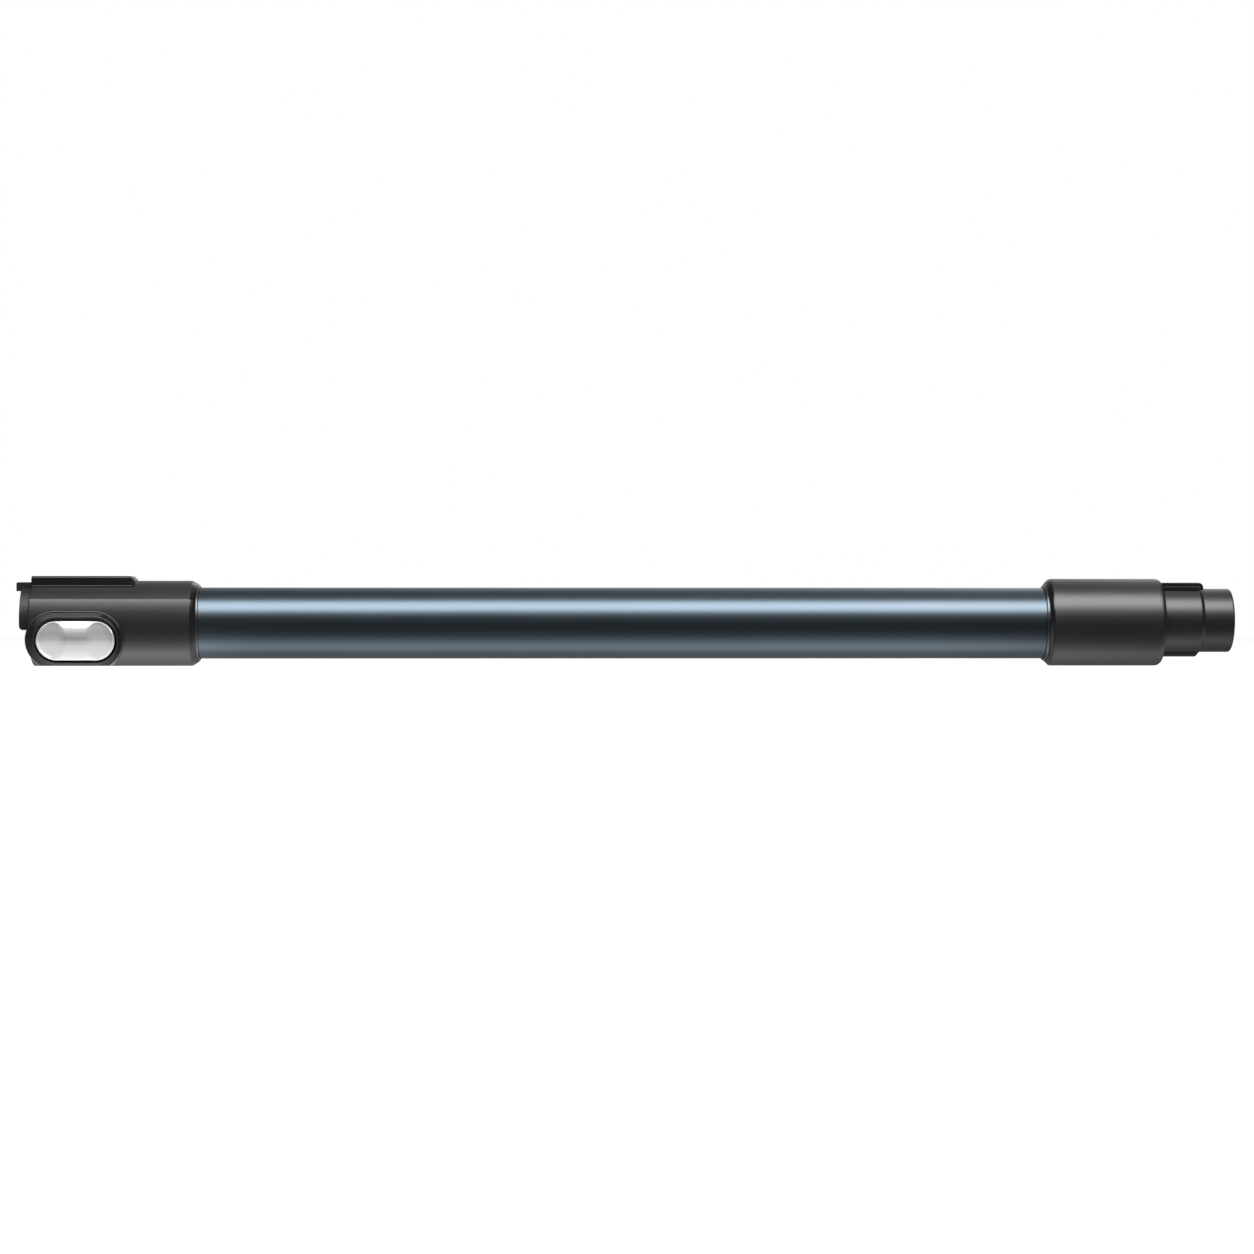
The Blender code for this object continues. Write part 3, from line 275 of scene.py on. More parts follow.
def rounded_profile(corners):
    """Closed profile [(x, radius), ...] from corners (x, radius, rounding)."""
    points = []
    for index, (x, radius, rounding) in enumerate(corners):
        here = Vector((x, radius))
        if rounding == 0.0:
            points.append(tuple(here))
            continue
        before = Vector(corners[index - 1][:2])
        after = Vector(corners[(index + 1) % len(corners)][:2])
        points += cut_corner(before, here, after, rounding, 5)
    return points


def bridge(shape, lower, upper):
    """A band of faces between two closed rows of corners."""
    for index in range(len(lower)):
        after = (index + 1) % len(lower)
        shape.faces.new((lower[index], lower[after], upper[after], upper[index]))


def make_mesh(name, shape):
    """The mesh of a shape drawn round the wand's axis, moved to the axis's place."""
    bmesh.ops.recalc_face_normals(shape, faces=shape.faces)
    bmesh.ops.translate(shape, verts=shape.verts, vec=(0.0, AXIS_Y, AXIS_HEIGHT))
    data = bpy.data.meshes.new(name)
    shape.to_mesh(data)
    shape.free()
    return data


def loft(name, sections):
    """A closed solid through outlines (x, [(y, z), ...]) with equal numbers of points."""
    shape = bmesh.new()
    rings = []
    for x, outline in sections:
        rings.append([shape.verts.new((x, y, z)) for y, z in outline])
    for lower, upper in zip(rings, rings[1:]):
        bridge(shape, lower, upper)
    shape.faces.new(rings[0])
    shape.faces.new(rings[-1])
    return make_mesh(name, shape)


def turned(name, profile, rise=0.0):
    """A ring-shaped solid: the closed profile [(x, radius), ...] turned round an axis along X."""
    shape = bmesh.new()
    columns = []
    for index in range(SIDES):
        angle = side_angle(index)
        column = []
        for x, radius in profile:
            z = rise + radius * FLAT * math.sin(angle)
            column.append(shape.verts.new((x, radius * FLAT * math.cos(angle), z)))
        columns.append(column)
    for here, there in zip(columns, columns[1:] + columns[:1]):
        bridge(shape, here, there)
    return make_mesh(name, shape)


def extruded_x(name, outline, start, end):
    """A solid from an outline [(y, z), ...] between two places along the wand."""
    return loft(name, [(start, outline), (end, outline)])


def extruded_y(name, outline, start, end):
    """A solid from an outline [(x, z), ...] between two values of y."""
    shape = bmesh.new()
    near = [shape.verts.new((x, start, z)) for x, z in outline]
    far = [shape.verts.new((x, end, z)) for x, z in outline]
    bridge(shape, near, far)
    shape.faces.new(near)
    shape.faces.new(far)
    return make_mesh(name, shape)


def block(name, low, high):
    shape = bmesh.new()
    centre = (Vector(low) + Vector(high)) / 2
    size = Vector(high) - Vector(low)
    place = Matrix.Translation(centre) @ Matrix.Diagonal((*size, 1.0))
    bmesh.ops.create_cube(shape, size=1.0, matrix=place)
    return make_mesh(name, shape)


# Pieces
def linked(name, data):
    item = bpy.data.objects.new(name, data)
    bpy.context.scene.collection.objects.link(item)
    return item


def settle(item):
    """Replaces the mesh by the result of the modifiers."""
    graph = bpy.context.evaluated_depsgraph_get()
    data = bpy.data.meshes.new_from_object(item.evaluated_get(graph))
    item.modifiers.clear()
    item.data = data


def combine(item, data, operation):
    """Applies one exact Boolean at once and removes its helper."""
    helper = linked(data.name, data)
    modifier = item.modifiers.new(operation, "BOOLEAN")
    modifier.operation = operation
    modifier.object = helper
    modifier.solver = "EXACT"
    settle(item)
    bpy.data.objects.remove(helper, do_unlink=True)


def cut(item, *helpers):
    for data in helpers:
        combine(item, data, "DIFFERENCE")


def soften(item, width, angle=40.0, segments=3):
    """Rounds the edges that are sharper than the angle."""
    modifier = item.modifiers.new("edge", "BEVEL")
    modifier.width = width
    modifier.segments = segments
    modifier.limit_method = "ANGLE"
    modifier.angle_limit = math.radians(angle)
    settle(item)


def add_softened(item, data):
    """Joins a helper with softened edges to the piece."""
    helper = linked(data.name, data)
    soften(helper, MOULDED_EDGE)
    combine(item, helper.data.copy(), "UNION")
    bpy.data.objects.remove(helper, do_unlink=True)


def piece(item, body, node, finish, angle=32.0):
    """Gives a piece its finish, its body and the CAD node that it stands for."""
    item.data.materials.clear()
    item.data.materials.append(finish)
    item.data.shade_smooth()
    item.data.set_sharp_from_angle(angle=math.radians(angle))
    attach(item, body)
    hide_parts(node)


def polish(item, finish, low_x, high_x):
    """A second finish on the faces whose centres lie between two places along the wand."""
    item.data.materials.append(finish)
    for face in item.data.polygons:
        if low_x < face.center.x < high_x:
            face.material_index = 1


# Finishes
def add_grain(tree, shader, scale, stretch, roughness, strength, height):
    """Noise in object space that varies the roughness and gives a very fine relief."""
    nodes = tree.nodes
    place = nodes.new("ShaderNodeTexCoord")
    mapping = nodes.new("ShaderNodeMapping")
    mapping.inputs["Scale"].default_value = stretch
    noise = nodes.new("ShaderNodeTexNoise")
    noise.inputs["Scale"].default_value = scale
    noise.inputs["Detail"].default_value = 4.0
    ramp = nodes.new("ShaderNodeMapRange")
    ramp.inputs["To Min"].default_value = roughness[0]
    ramp.inputs["To Max"].default_value = roughness[1]
    relief = nodes.new("ShaderNodeBump")
    relief.inputs["Strength"].default_value = strength
    relief.inputs["Distance"].default_value = height
    tree.links.new(place.outputs["Object"], mapping.inputs["Vector"])
    tree.links.new(mapping.outputs["Vector"], noise.inputs["Vector"])
    tree.links.new(noise.outputs["Fac"], ramp.inputs["Value"])
    tree.links.new(ramp.outputs["Result"], shader.inputs["Roughness"])
    tree.links.new(noise.outputs["Fac"], relief.inputs["Height"])
    tree.links.new(relief.outputs["Normal"], shader.inputs["Normal"])


def add_colour_drift(tree, shader, scale, dark, light):
    """A slow, faint change of colour over the surface."""
    nodes = tree.nodes
    place = nodes.new("ShaderNodeTexCoord")
    noise = nodes.new("ShaderNodeTexNoise")
    noise.inputs["Scale"].default_value = scale
    noise.inputs["Detail"].default_value = 2.0
    ramp = nodes.new("ShaderNodeValToRGB")
    ramp.color_ramp.elements[0].position = 0.35
    ramp.color_ramp.elements[0].color = (*dark, 1.0)
    ramp.color_ramp.elements[1].position = 0.65
    ramp.color_ramp.elements[1].color = (*light, 1.0)
    tree.links.new(place.outputs["Object"], noise.inputs["Vector"])
    tree.links.new(noise.outputs["Fac"], ramp.inputs["Fac"])
    tree.links.new(ramp.outputs["Color"], shader.inputs["Base Color"])


def add_ramp(tree, source, low, high, points, interpolation="LINEAR"):
    """A grey ramp over a value from low to high, with points (share of the way, level)."""
    span = tree.nodes.new("ShaderNodeMapRange")
    span.inputs["From Min"].default_value = low
    span.inputs["From Max"].default_value = high
    ramp = tree.nodes.new("ShaderNodeValToRGB")
    ramp.color_ramp.interpolation = interpolation
    stops = ramp.color_ramp.elements
    for index, (position, level) in enumerate(points):
        if index < 2:
            stop = stops[index]
            stop.position = position
        else:
            stop = stops.new(position)
        stop.color = (level, level, level, 1.0)
    tree.links.new(source, span.inputs["Value"])
    tree.links.new(span.outputs["Result"], ramp.inputs["Fac"])
    return ramp.outputs["Color"]


def as_shares(points, low, high):
    """Points (value, level) as points (share of the way from low to high, level)."""
    return [((value - low) / (high - low), level) for value, level in points]


def add_button_painted_shade(tree, shader):
    """Painted shade on the metallic paint: darker in the dishes' upper halves and along the saddle's middle,
    lighter where the surfaces face the lamp.
    """
    place = tree.nodes.new("ShaderNodeTexCoord")
    parts = tree.nodes.new("ShaderNodeSeparateXYZ")
    tree.links.new(place.outputs["Object"], parts.inputs["Vector"])
    centre_z = AXIS_HEIGHT - BUTTON_DROP
    shade_ramps = []
    for points in (DISH_PAINTED_SHADE, SADDLE_PAINTED_SHADE):
        shade_ramps.append(add_ramp(tree, parts.outputs["Z"], centre_z - BUTTON_HALF_HEIGHT,
                              centre_z + BUTTON_HALF_HEIGHT, points, "EASE"))
    offset = tree.nodes.new("ShaderNodeMath")
    offset.operation = "SUBTRACT"
    offset.inputs[1].default_value = BUTTON_X
    distance = tree.nodes.new("ShaderNodeMath")
    distance.operation = "ABSOLUTE"
    share = tree.nodes.new("ShaderNodeMapRange")
    share.inputs["From Min"].default_value = SADDLE_HALF
    share.inputs["From Max"].default_value = DISH_PAINTED_SHADE_START
    blend = tree.nodes.new("ShaderNodeMix")
    blend.data_type = "RGBA"
    tree.links.new(parts.outputs["X"], offset.inputs[0])
    tree.links.new(offset.outputs["Value"], distance.inputs[0])
    tree.links.new(distance.outputs["Value"], share.inputs["Value"])
    tree.links.new(share.outputs["Result"], blend.inputs["Factor"])
    tree.links.new(shade_ramps[1], blend.inputs[6])
    tree.links.new(shade_ramps[0], blend.inputs[7])
    tree.links.new(blend.outputs[2], shader.inputs["Base Color"])


def new_finish(name, colour, roughness, grain, drift=None, metallic=0.0, ior=1.5, painted_shade=False):
    """A finish with its grain (scale, stretch, roughness range, strength, height), and with a colour
    drift (scale, dark, light) or the button's painted shade."""
    made = bpy.data.materials.new(name)
    made.use_nodes = True
    tree = made.node_tree
    shader = tree.nodes["Principled BSDF"]
    shader.inputs["Base Color"].default_value = (*colour, 1.0)
    shader.inputs["Roughness"].default_value = roughness
    shader.inputs["Metallic"].default_value = metallic
    shader.inputs["IOR"].default_value = ior
    add_grain(tree, shader, *grain)
    if drift:
        add_colour_drift(tree, shader, *drift)
    if painted_shade:
        add_button_painted_shade(tree, shader)
    return made


def make_finishes():
    even = (1.0, 1.0, 1.0)
    drawn = (0.1, 1.0, 1.0)
    return {
        "blue": new_finish("look_anodised_blue", (0.127, 0.161, 0.191), 0.3, metallic=1.0,
                           grain=(900.0, (0.02, 1.0, 1.0), (0.31, 0.37), 0.04, 0.02 * MM),
                           drift=(9.0, (0.121, 0.155, 0.185), (0.132, 0.166, 0.196))),
        "satin": new_finish("look_satin_black", (0.0055, 0.0055, 0.0057), 0.4, ior=1.92,
                            grain=(5200.0, even, (0.37, 0.43), 0.12, 0.03 * MM),
                            drift=(30.0, (0.0049, 0.0049, 0.0051), (0.0061, 0.0061, 0.0063))),
        "dull": new_finish("look_dull_black", (0.009, 0.009, 0.0092), 0.48, ior=1.55,
                           grain=(5200.0, even, (0.44, 0.52), 0.12, 0.03 * MM),
                           drift=(30.0, (0.008, 0.008, 0.0082), (0.010, 0.010, 0.0102))),
        "ring": new_finish("look_ring_metal", (0.17, 0.185, 0.20), 0.34, metallic=1.0,
                           grain=(2200.0, drawn, (0.3, 0.38), 0.04, 0.01 * MM)),
        "gloss": new_finish("look_gloss_black", (0.010, 0.010, 0.011), 0.18,
                            grain=(1500.0, even, (0.15, 0.22), 0.03, 0.02 * MM),
                            drift=(40.0, (0.009, 0.009, 0.010), (0.012, 0.012, 0.013))),
        # The button's silver carries painted shade: darker dish tops and saddle middle in its base colour.
        "silver": new_finish("look_satin_silver", (0.86, 0.86, 0.86), 0.26, metallic=0.5,
                             grain=(4000.0, even, (0.23, 0.29), 0.05, 0.02 * MM), painted_shade=True),
        "steel": new_finish("look_spring_steel", (0.55, 0.56, 0.58), 0.25, metallic=1.0,
                            grain=(3000.0, drawn, (0.22, 0.32), 0.05, 0.01 * MM)),
        "brass": new_finish("look_brass", (0.78, 0.57, 0.28), 0.26, metallic=1.0,
                            grain=(2600.0, drawn, (0.22, 0.34), 0.05, 0.01 * MM),
                            drift=(200.0, (0.72, 0.50, 0.24), (0.82, 0.61, 0.32))),
        "rubber": new_finish("look_soft_rubber", (0.02, 0.02, 0.02), 0.7,
                             grain=(2500.0, even, (0.62, 0.8), 0.2, 0.05 * MM)),
        "jacket": new_finish("look_wire_jacket", (0.38, 0.025, 0.022), 0.45,
                             grain=(1800.0, (0.2, 1.0, 1.0), (0.4, 0.52), 0.1, 0.03 * MM),
                             drift=(120.0, (0.34, 0.02, 0.018), (0.42, 0.03, 0.026))),
    }


# Tube and trim rings
def make_tube(finishes):
    inner = TUBE_RADIUS - TUBE_WALL
    edge = 0.25 * MM
    corners = [(TUBE_START_X, inner, edge), (TUBE_END_X, inner, edge), (TUBE_END_X, TUBE_RADIUS, edge),
               (TUBE_START_X, TUBE_RADIUS, edge)]
    item = linked("wand_tube", turned("wand_tube", rounded_profile(corners)))
    piece(item, "wand", "tube", finishes["blue"])


def make_trim_ring(finishes, name, node, start):
    inner = TUBE_RADIUS + FIT
    outer = inner + TRIM_RING_WALL
    end = start + TRIM_RING_LENGTH
    inner_edge = 0.1 * MM
    outer_edge = 0.55 * MM
    corners = [(start, inner, inner_edge), (end, inner, inner_edge), (end, outer, outer_edge),
               (start, outer, outer_edge)]
    item = linked(name, turned(name, rounded_profile(corners)))
    piece(item, "wand", node, finishes["ring"])


# Socket end
def housing_outline():
    """Points (y, z): half a circle below, flatter sides, a softened crease, shoulders and a rounded roof."""
    radius = HOUSING_RADIUS * FLAT
    below = []
    for index in range(SIDES // 2 + 1):
        angle = -math.pi + math.pi * index / (SIDES // 2)
        below.append((radius * math.cos(angle), radius * math.sin(angle)))
    crease_angle = math.asin(CREASE_HEIGHT / FRONT_RADIUS)
    front_centre = FRONT_RADIUS - radius
    front_steps = 16
    side = []
    for index in range(1, front_steps + 1):
        angle = crease_angle * index / front_steps
        side.append((FRONT_RADIUS * math.cos(angle) - front_centre, FRONT_RADIUS * math.sin(angle)))
    crease_y, crease_z = side[-1]
    centre_y = crease_y - SHOULDER_RADIUS * math.cos(SHOULDER_START)
    centre_z = crease_z - SHOULDER_RADIUS * math.sin(SHOULDER_START)
    shoulder = arc((centre_y, centre_z), SHOULDER_RADIUS, SHOULDER_START, SHOULDER_END, 14)
    crease = Vector(side.pop())
    side += cut_corner(Vector(side[-1]), crease, Vector(shoulder[1]), CREASE_ROUNDING, 4)
    side += shoulder[1:]
    shoulder_y, shoulder_z = side[-1]
    roof_radius = shoulder_y / math.cos(SHOULDER_END)
    roof_z = shoulder_z - roof_radius * math.sin(SHOULDER_END)
    roof_steps = 14
    for index in range(1, roof_steps):
        angle = SHOULDER_END + (math.pi / 2 - SHOULDER_END) * index / roof_steps
        side.append((roof_radius * math.cos(angle), roof_z + roof_radius * math.sin(angle)))
    return below + side + [(0.0, roof_z + roof_radius)] + [(-y, z) for y, z in reversed(side)]


def make_socket_housing(finishes):
    outline = housing_outline()
    scale = (RING_SEAT_RADIUS + 0.4 * MM) / HOUSING_RADIUS
    small = [(y * scale, z * scale) for y, z in outline]
    corner_x = HOUSING_END_X - HOUSING_CHAMFER
    sections = [(MOUTH_X + along, grown(outline, -inset)) for along, inset in rim_steps(HOUSING_RIM, 5)]
    taper = ((corner_x - 0.7 * MM, 0.0), (corner_x - 0.3 * MM, 0.012), (corner_x + 0.1 * MM, 0.07),
             (corner_x + 0.6 * MM, 0.2), (HOUSING_END_X - 0.3 * MM, 0.9), (HOUSING_END_X, 1.05))
    for x, share in taper:
        sections.append((x, blended(outline, small, share)))
    item = linked("socket_shell", loft("socket_shell", sections))
    half = COVER_HALF + FIT
    right = [(half, SLOT_FOOT), (half, SLOT_EDGE), (half + SLOT_FLARE, SLOT_EDGE + SLOT_FLARE),
             (half + SLOT_FLARE, BEYOND)]
    slot = [(-half, SLOT_FOOT)] + right + [(-y, z) for y, z in reversed(right[1:])]
    ring_seat_x = HOUSING_END_X + TRIM_RING_PROUD - TRIM_RING_LENGTH - FIT
    cut(item,
        extruded_x("cavity", circle(CAVITY_RADIUS, SPIGOT_RISE), MOUTH_X - BEYOND, TUBE_START_X - FIT),
        extruded_x("bore", circle(TUBE_RADIUS + FIT), TUBE_START_X - BEYOND, HOUSING_END_X + BEYOND),
        extruded_x("ring_seat", circle(RING_SEAT_RADIUS), ring_seat_x, HOUSING_END_X + BEYOND),
        extruded_x("slot", slot, MOUTH_X - BEYOND, COVER_END_X + FIT),
        extruded_y("window", pill(BEZEL_SKIRT + FIT), -BEYOND, -WINDOW_BACK),
        block("lever_pocket", (POCKET_X - POCKET_HALF, -WINDOW_BACK - 2.0 * MM, POCKET_FLOOR),
              (POCKET_X + POCKET_HALF, 3.4 * MM, -HOUSING_RADIUS / 2)))
    for side in (-1, 1):
        bead = arc((side * (half + BEAD_RADIUS / 2), SLOT_EDGE), BEAD_RADIUS, 0.0, 2 * math.pi, 16)[:-1]
        combine(item, extruded_x("bead", bead, MOUTH_X + HOUSING_RIM, COVER_END_X - 0.5 * MM), "UNION")
    piece(item, "wand", "socket_housing", finishes["satin"])
    polish(item, finishes["gloss"], corner_x + 0.3 * MM, HOUSING_END_X + 0.1 * MM)


def cover_section(inset):
    """Outline (y, z) of the rail cover with round upper edges."""
    above_sleeve = SPIGOT_RISE + math.sqrt(CAVITY_RADIUS ** 2 - COVER_INNER_HALF ** 2)
    foot = max(above_sleeve, TUBE_RADIUS) + FIT
    half = COVER_HALF - inset
    top = COVER_TOP - inset
    right = arc((half - COVER_EDGE, top - COVER_EDGE), COVER_EDGE, 0.0, math.pi / 2, 6)
    left = [(-y, z) for y, z in reversed(right)]
    return [(-half, foot), (half, foot)] + right + left


def make_rail_cover(finishes):
    sections = [(MOUTH_X + along, cover_section(inset)) for along, inset in rim_steps(COVER_RIM, 4)]
    full = cover_section(0.0)
    back = [(y * COVER_END_SHARE, min(z, COVER_TOP - COVER_CHAMFER)) for y, z in full]
    slope_x = COVER_END_X - COVER_CHAMFER
    slope = ((slope_x - 0.2 * MM, 0.0), (slope_x + 0.15 * MM, 0.09), (COVER_END_X - 0.15 * MM, 0.95),
             (COVER_END_X, 1.04))
    for x, share in slope:
        sections.append((x, blended(full, back, share)))
    item = linked("rail_top", loft("rail_top", sections))
    cut(item,
        block("hollow", (MOUTH_X + COVER_ROOF, -COVER_INNER_HALF, 0.0),
              (slope_x - COVER_ROOF, COVER_INNER_HALF, COVER_TOP - COVER_ROOF)),
        block("keyway", (MOUTH_X - BEYOND, -COVER_INNER_HALF, 0.0),
              (MOUTH_X + 2 * COVER_ROOF, COVER_INNER_HALF, KEY_TOP + 0.35 * MM)))
    piece(item, "wand", "rail_cover", finishes["gloss"])
    polish(item, finishes["satin"], slope_x + 0.1 * MM, COVER_END_X + 0.1 * MM)


def make_socket_sleeve(finishes):
    front = MOUTH_X - GUIDE_REACH
    outside = front - BEYOND
    inside = SLEEVE_END_X + BEYOND
    lug_x = MOUTH_X - LUG_REACH
    deck = SPIGOT_RISE + SLEEVE_NOSE_BORE + SLEEVE_WALL
    tube = extruded_x("socket_lining", circle(SLEEVE_RADIUS, SPIGOT_RISE), front, SLEEVE_END_X)
    item = linked("socket_lining", tube)
    combine(item, block("guides", (front, -GUIDE_HALF, 0.0), (SLEEVE_STEP_X, GUIDE_HALF, KEY_TOP)), "UNION")
    cut(item,
        extruded_x("bore", circle(SLEEVE_BORE, SPIGOT_RISE), outside, SLEEVE_STEP_X),
        extruded_x("nose_bore", circle(SLEEVE_NOSE_BORE, SPIGOT_RISE), front, inside),
        block("keyway", (outside, -KEYWAY_HALF, SPIGOT_RISE + NOSE_RADIUS / 2),
              (SLEEVE_STEP_X, KEYWAY_HALF, BEYOND)),
        block("deck", (SLEEVE_STEP_X, -BEYOND, deck), (inside, BEYOND, BEYOND)),
        block("tab_front", (outside, -BEYOND, -BEYOND), (lug_x, -GUIDE_HALF, BEYOND)),
        block("tab_back", (outside, GUIDE_HALF, -BEYOND), (lug_x, BEYOND, BEYOND)),
        block("rib_slot", (outside, -RIB_SLOT_HALF, -BEYOND),
              (SLEEVE_STEP_X - SLEEVE_WALL, RIB_SLOT_HALF, 0.0)))
    above = KEY_TOP + 0.1 * MM
    side = [(inside, -BEYOND), (inside, BEYOND), (SLEEVE_STEP_X, BEYOND), (SLEEVE_STEP_X, above),
            (front + TAB_CORNER + 0.1 * MM, above)]
    side += arc((front + TAB_CORNER, KEY_TOP - TAB_CORNER), TAB_CORNER, math.pi / 2, math.pi, 6)
    side += arc((front + GUIDE_CORNER, GUIDE_FOOT + GUIDE_CORNER), GUIDE_CORNER, math.pi, 1.5 * math.pi, 5)
    side.append((lug_x, GUIDE_FOOT))
    side += arc((lug_x + LUG_CORNER, LUG_FOOT + LUG_CORNER), LUG_CORNER, math.pi, 1.5 * math.pi, 8)
    side += [(MOUTH_X, LUG_FOOT), (MOUTH_X, -BEYOND)]
    combine(item, extruded_y("side", side, -BEYOND, BEYOND), "INTERSECT")
    piece(item, "wand", "socket_sleeve", finishes["dull"])


# Release button and bezel
def pill(offset, steps=48, straight_steps=24):
    """Stations (x, z) round the button's outline, moved outwards by the offset."""
    radius = BUTTON_HALF_HEIGHT + offset
    straight = BUTTON_HALF_LENGTH - BUTTON_HALF_HEIGHT
    right = arc((BUTTON_X + straight, -BUTTON_DROP), radius, -math.pi / 2, math.pi / 2, steps)
    left = arc((BUTTON_X - straight, -BUTTON_DROP), radius, math.pi / 2, 3 * math.pi / 2, steps)
    upper = []
    lower = []
    for index in range(1, straight_steps):
        x = straight * (1 - 2 * index / straight_steps)
        upper.append((BUTTON_X + x, -BUTTON_DROP + radius))
        lower.append((BUTTON_X - x, -BUTTON_DROP - radius))
    return right + upper + left + lower


def bezel_face(z):
    """The place y of the bezel's crowned face at a height."""
    lift = z + BEZEL_CROWN_DROP
    return -BEZEL_REACH + BEZEL_CROWN - math.sqrt(BEZEL_CROWN ** 2 - lift ** 2)


def bezel_profile():
    """Points (offset, sink): a rounded outer crest, a finely ribbed valley and a rounded inner crest."""
    outer = BEZEL_WIDTH - 0.55 * MM
    inner = BUTTON_GAP + 1.15 * MM
    points = [(BEZEL_WIDTH, 1.4 * MM), (BEZEL_WIDTH - 0.05 * MM, 0.55 * MM),
              (BEZEL_WIDTH - 0.15 * MM, 0.15 * MM), (BEZEL_WIDTH - 0.3 * MM, -0.05 * MM),
              (outer, -0.15 * MM), (outer - 0.25 * MM, -0.08 * MM), (outer - 0.4 * MM, 0.08 * MM)]
    valley = inner + 0.4 * MM
    ribs = 3
    span = outer - 0.4 * MM - valley
    for index in range(ribs):
        start = outer - 0.4 * MM - span * (index + 0.15) / ribs
        for step, depth in ((0.0, 0.42), (0.3, 0.16), (0.6, 0.16), (0.85, 0.42)):
            points.append((start - span * step / ribs * 0.95, depth * MM))
    points += [(valley - 0.05 * MM, 0.06 * MM), (inner + 0.2 * MM, -0.2 * MM), (inner, -0.3 * MM),
               (inner - 0.3 * MM, -0.28 * MM), (inner - 0.6 * MM, -0.18 * MM),
               (BUTTON_GAP + 0.25 * MM, -0.02 * MM), (BUTTON_GAP + 0.08 * MM, 0.1 * MM),
               (BUTTON_GAP, 0.3 * MM)]
    return points


def bezel_ring(offset):
    """Stations (x, z) of a line on the bezel, whose flange is wider towards the mouth."""
    shift = BEZEL_LEAN * (offset - BUTTON_GAP) / (BEZEL_WIDTH - BUTTON_GAP)
    return [(x - shift, z) for x, z in pill(offset)]


def make_bezel(finishes):
    shape = bmesh.new()
    rings = [[shape.verts.new((x, -BEZEL_BACK, z)) for x, z in bezel_ring(BUTTON_GAP)],
             [shape.verts.new((x, -BEZEL_BACK, z)) for x, z in bezel_ring(BEZEL_WIDTH)]]
    for offset, sink in bezel_profile():
        rings.append([shape.verts.new((x, bezel_face(z) + sink, z)) for x, z in bezel_ring(offset)])
    for lower, upper in zip(rings, rings[1:] + rings[:1]):
        bridge(shape, lower, upper)
    item = linked("button_frame", make_mesh("button_frame", shape))
    outside = MOUTH_X - BEYOND
    around = linked("around", extruded_x("around", grown(housing_outline(), FIT), outside, HOUSING_END_X))
    cut(around, extruded_y("skirt_room", pill(BEZEL_SKIRT), -BEYOND, -WINDOW_BACK - FIT))
    cut(item, around.data.copy(),
        extruded_x("inside", circle(CAVITY_RADIUS, SPIGOT_RISE), outside, HOUSING_END_X),
        block("ground", (outside, -BEYOND, -BEYOND), (HOUSING_END_X, BEYOND, BEZEL_FLOOR - AXIS_HEIGHT)))
    bpy.data.objects.remove(around, do_unlink=True)
    piece(item, "wand", "button_bezel", finishes["satin"], 50.0)


def smooth(share):
    """An even rise from 0 to 1 with soft ends."""
    share = min(max(share, 0.0), 1.0)
    return share * share * (3 - 2 * share)


def button_depth(x, z, inset):
    """How far the button's front lies behind its foremost line: crown, two dishes and a rounded rim."""
    lift = z + BUTTON_CROWN_DROP
    depth = BUTTON_CROWN - math.sqrt(BUTTON_CROWN ** 2 - lift ** 2)
    for side in (-1, 1):
        reach = math.hypot(x - BUTTON_X - side * DISH_OFFSET, z + BUTTON_DROP)
        bowl = DISH_DEPTH * (1 - (min(reach, DISH_RADIUS) / DISH_RADIUS) ** 2)
        depth += bowl * smooth((inset - DISH_FADE_START) / DISH_FADE_LENGTH)
    if inset < BUTTON_RIM:
        depth += BUTTON_RIM - math.sqrt(BUTTON_RIM ** 2 - (BUTTON_RIM - inset) ** 2)
    return depth


def cap_ring(shape, inset, depth_inset, behind):
    """Corners of the cap at an inset, behind the front as it lies at the depth's inset."""
    ring = []
    for x, z in pill(-inset * MM, steps=60, straight_steps=64):
        front = -BUTTON_FRONT + button_depth(x, z, depth_inset * MM)
        ring.append(shape.verts.new((x, front + behind, z)))
    return ring


def make_release_button(finishes):
    """A thin shell in rings: the front from its edge inwards, the back from its core outwards."""
    shape = bmesh.new()
    insets = list(CAP_RIM_INSETS)
    inset = insets[-1] + CAP_STEP
    while inset < CAP_CORE - CAP_STEP / 2:
        insets.append(inset)
        inset += CAP_STEP
    insets.append(CAP_CORE)
    fronts = [cap_ring(shape, inset, inset, 0.0) for inset in insets]
    backs = [cap_ring(shape, inset, max(inset, CAP_RIM), BUTTON_SHELL) for inset in CAP_BACK_INSETS]
    for rings in (fronts, backs):
        for outer, inner in zip(rings, rings[1:]):
            bridge(shape, outer, inner)
    shape.faces.new(fronts[-1])
    shape.faces.new(backs[0])
    bridge(shape, fronts[0], backs[-1])
    item = linked("button_cap", make_mesh("button_cap", shape))
    piece(item, "release", "release_button", finishes["silver"], 50.0)


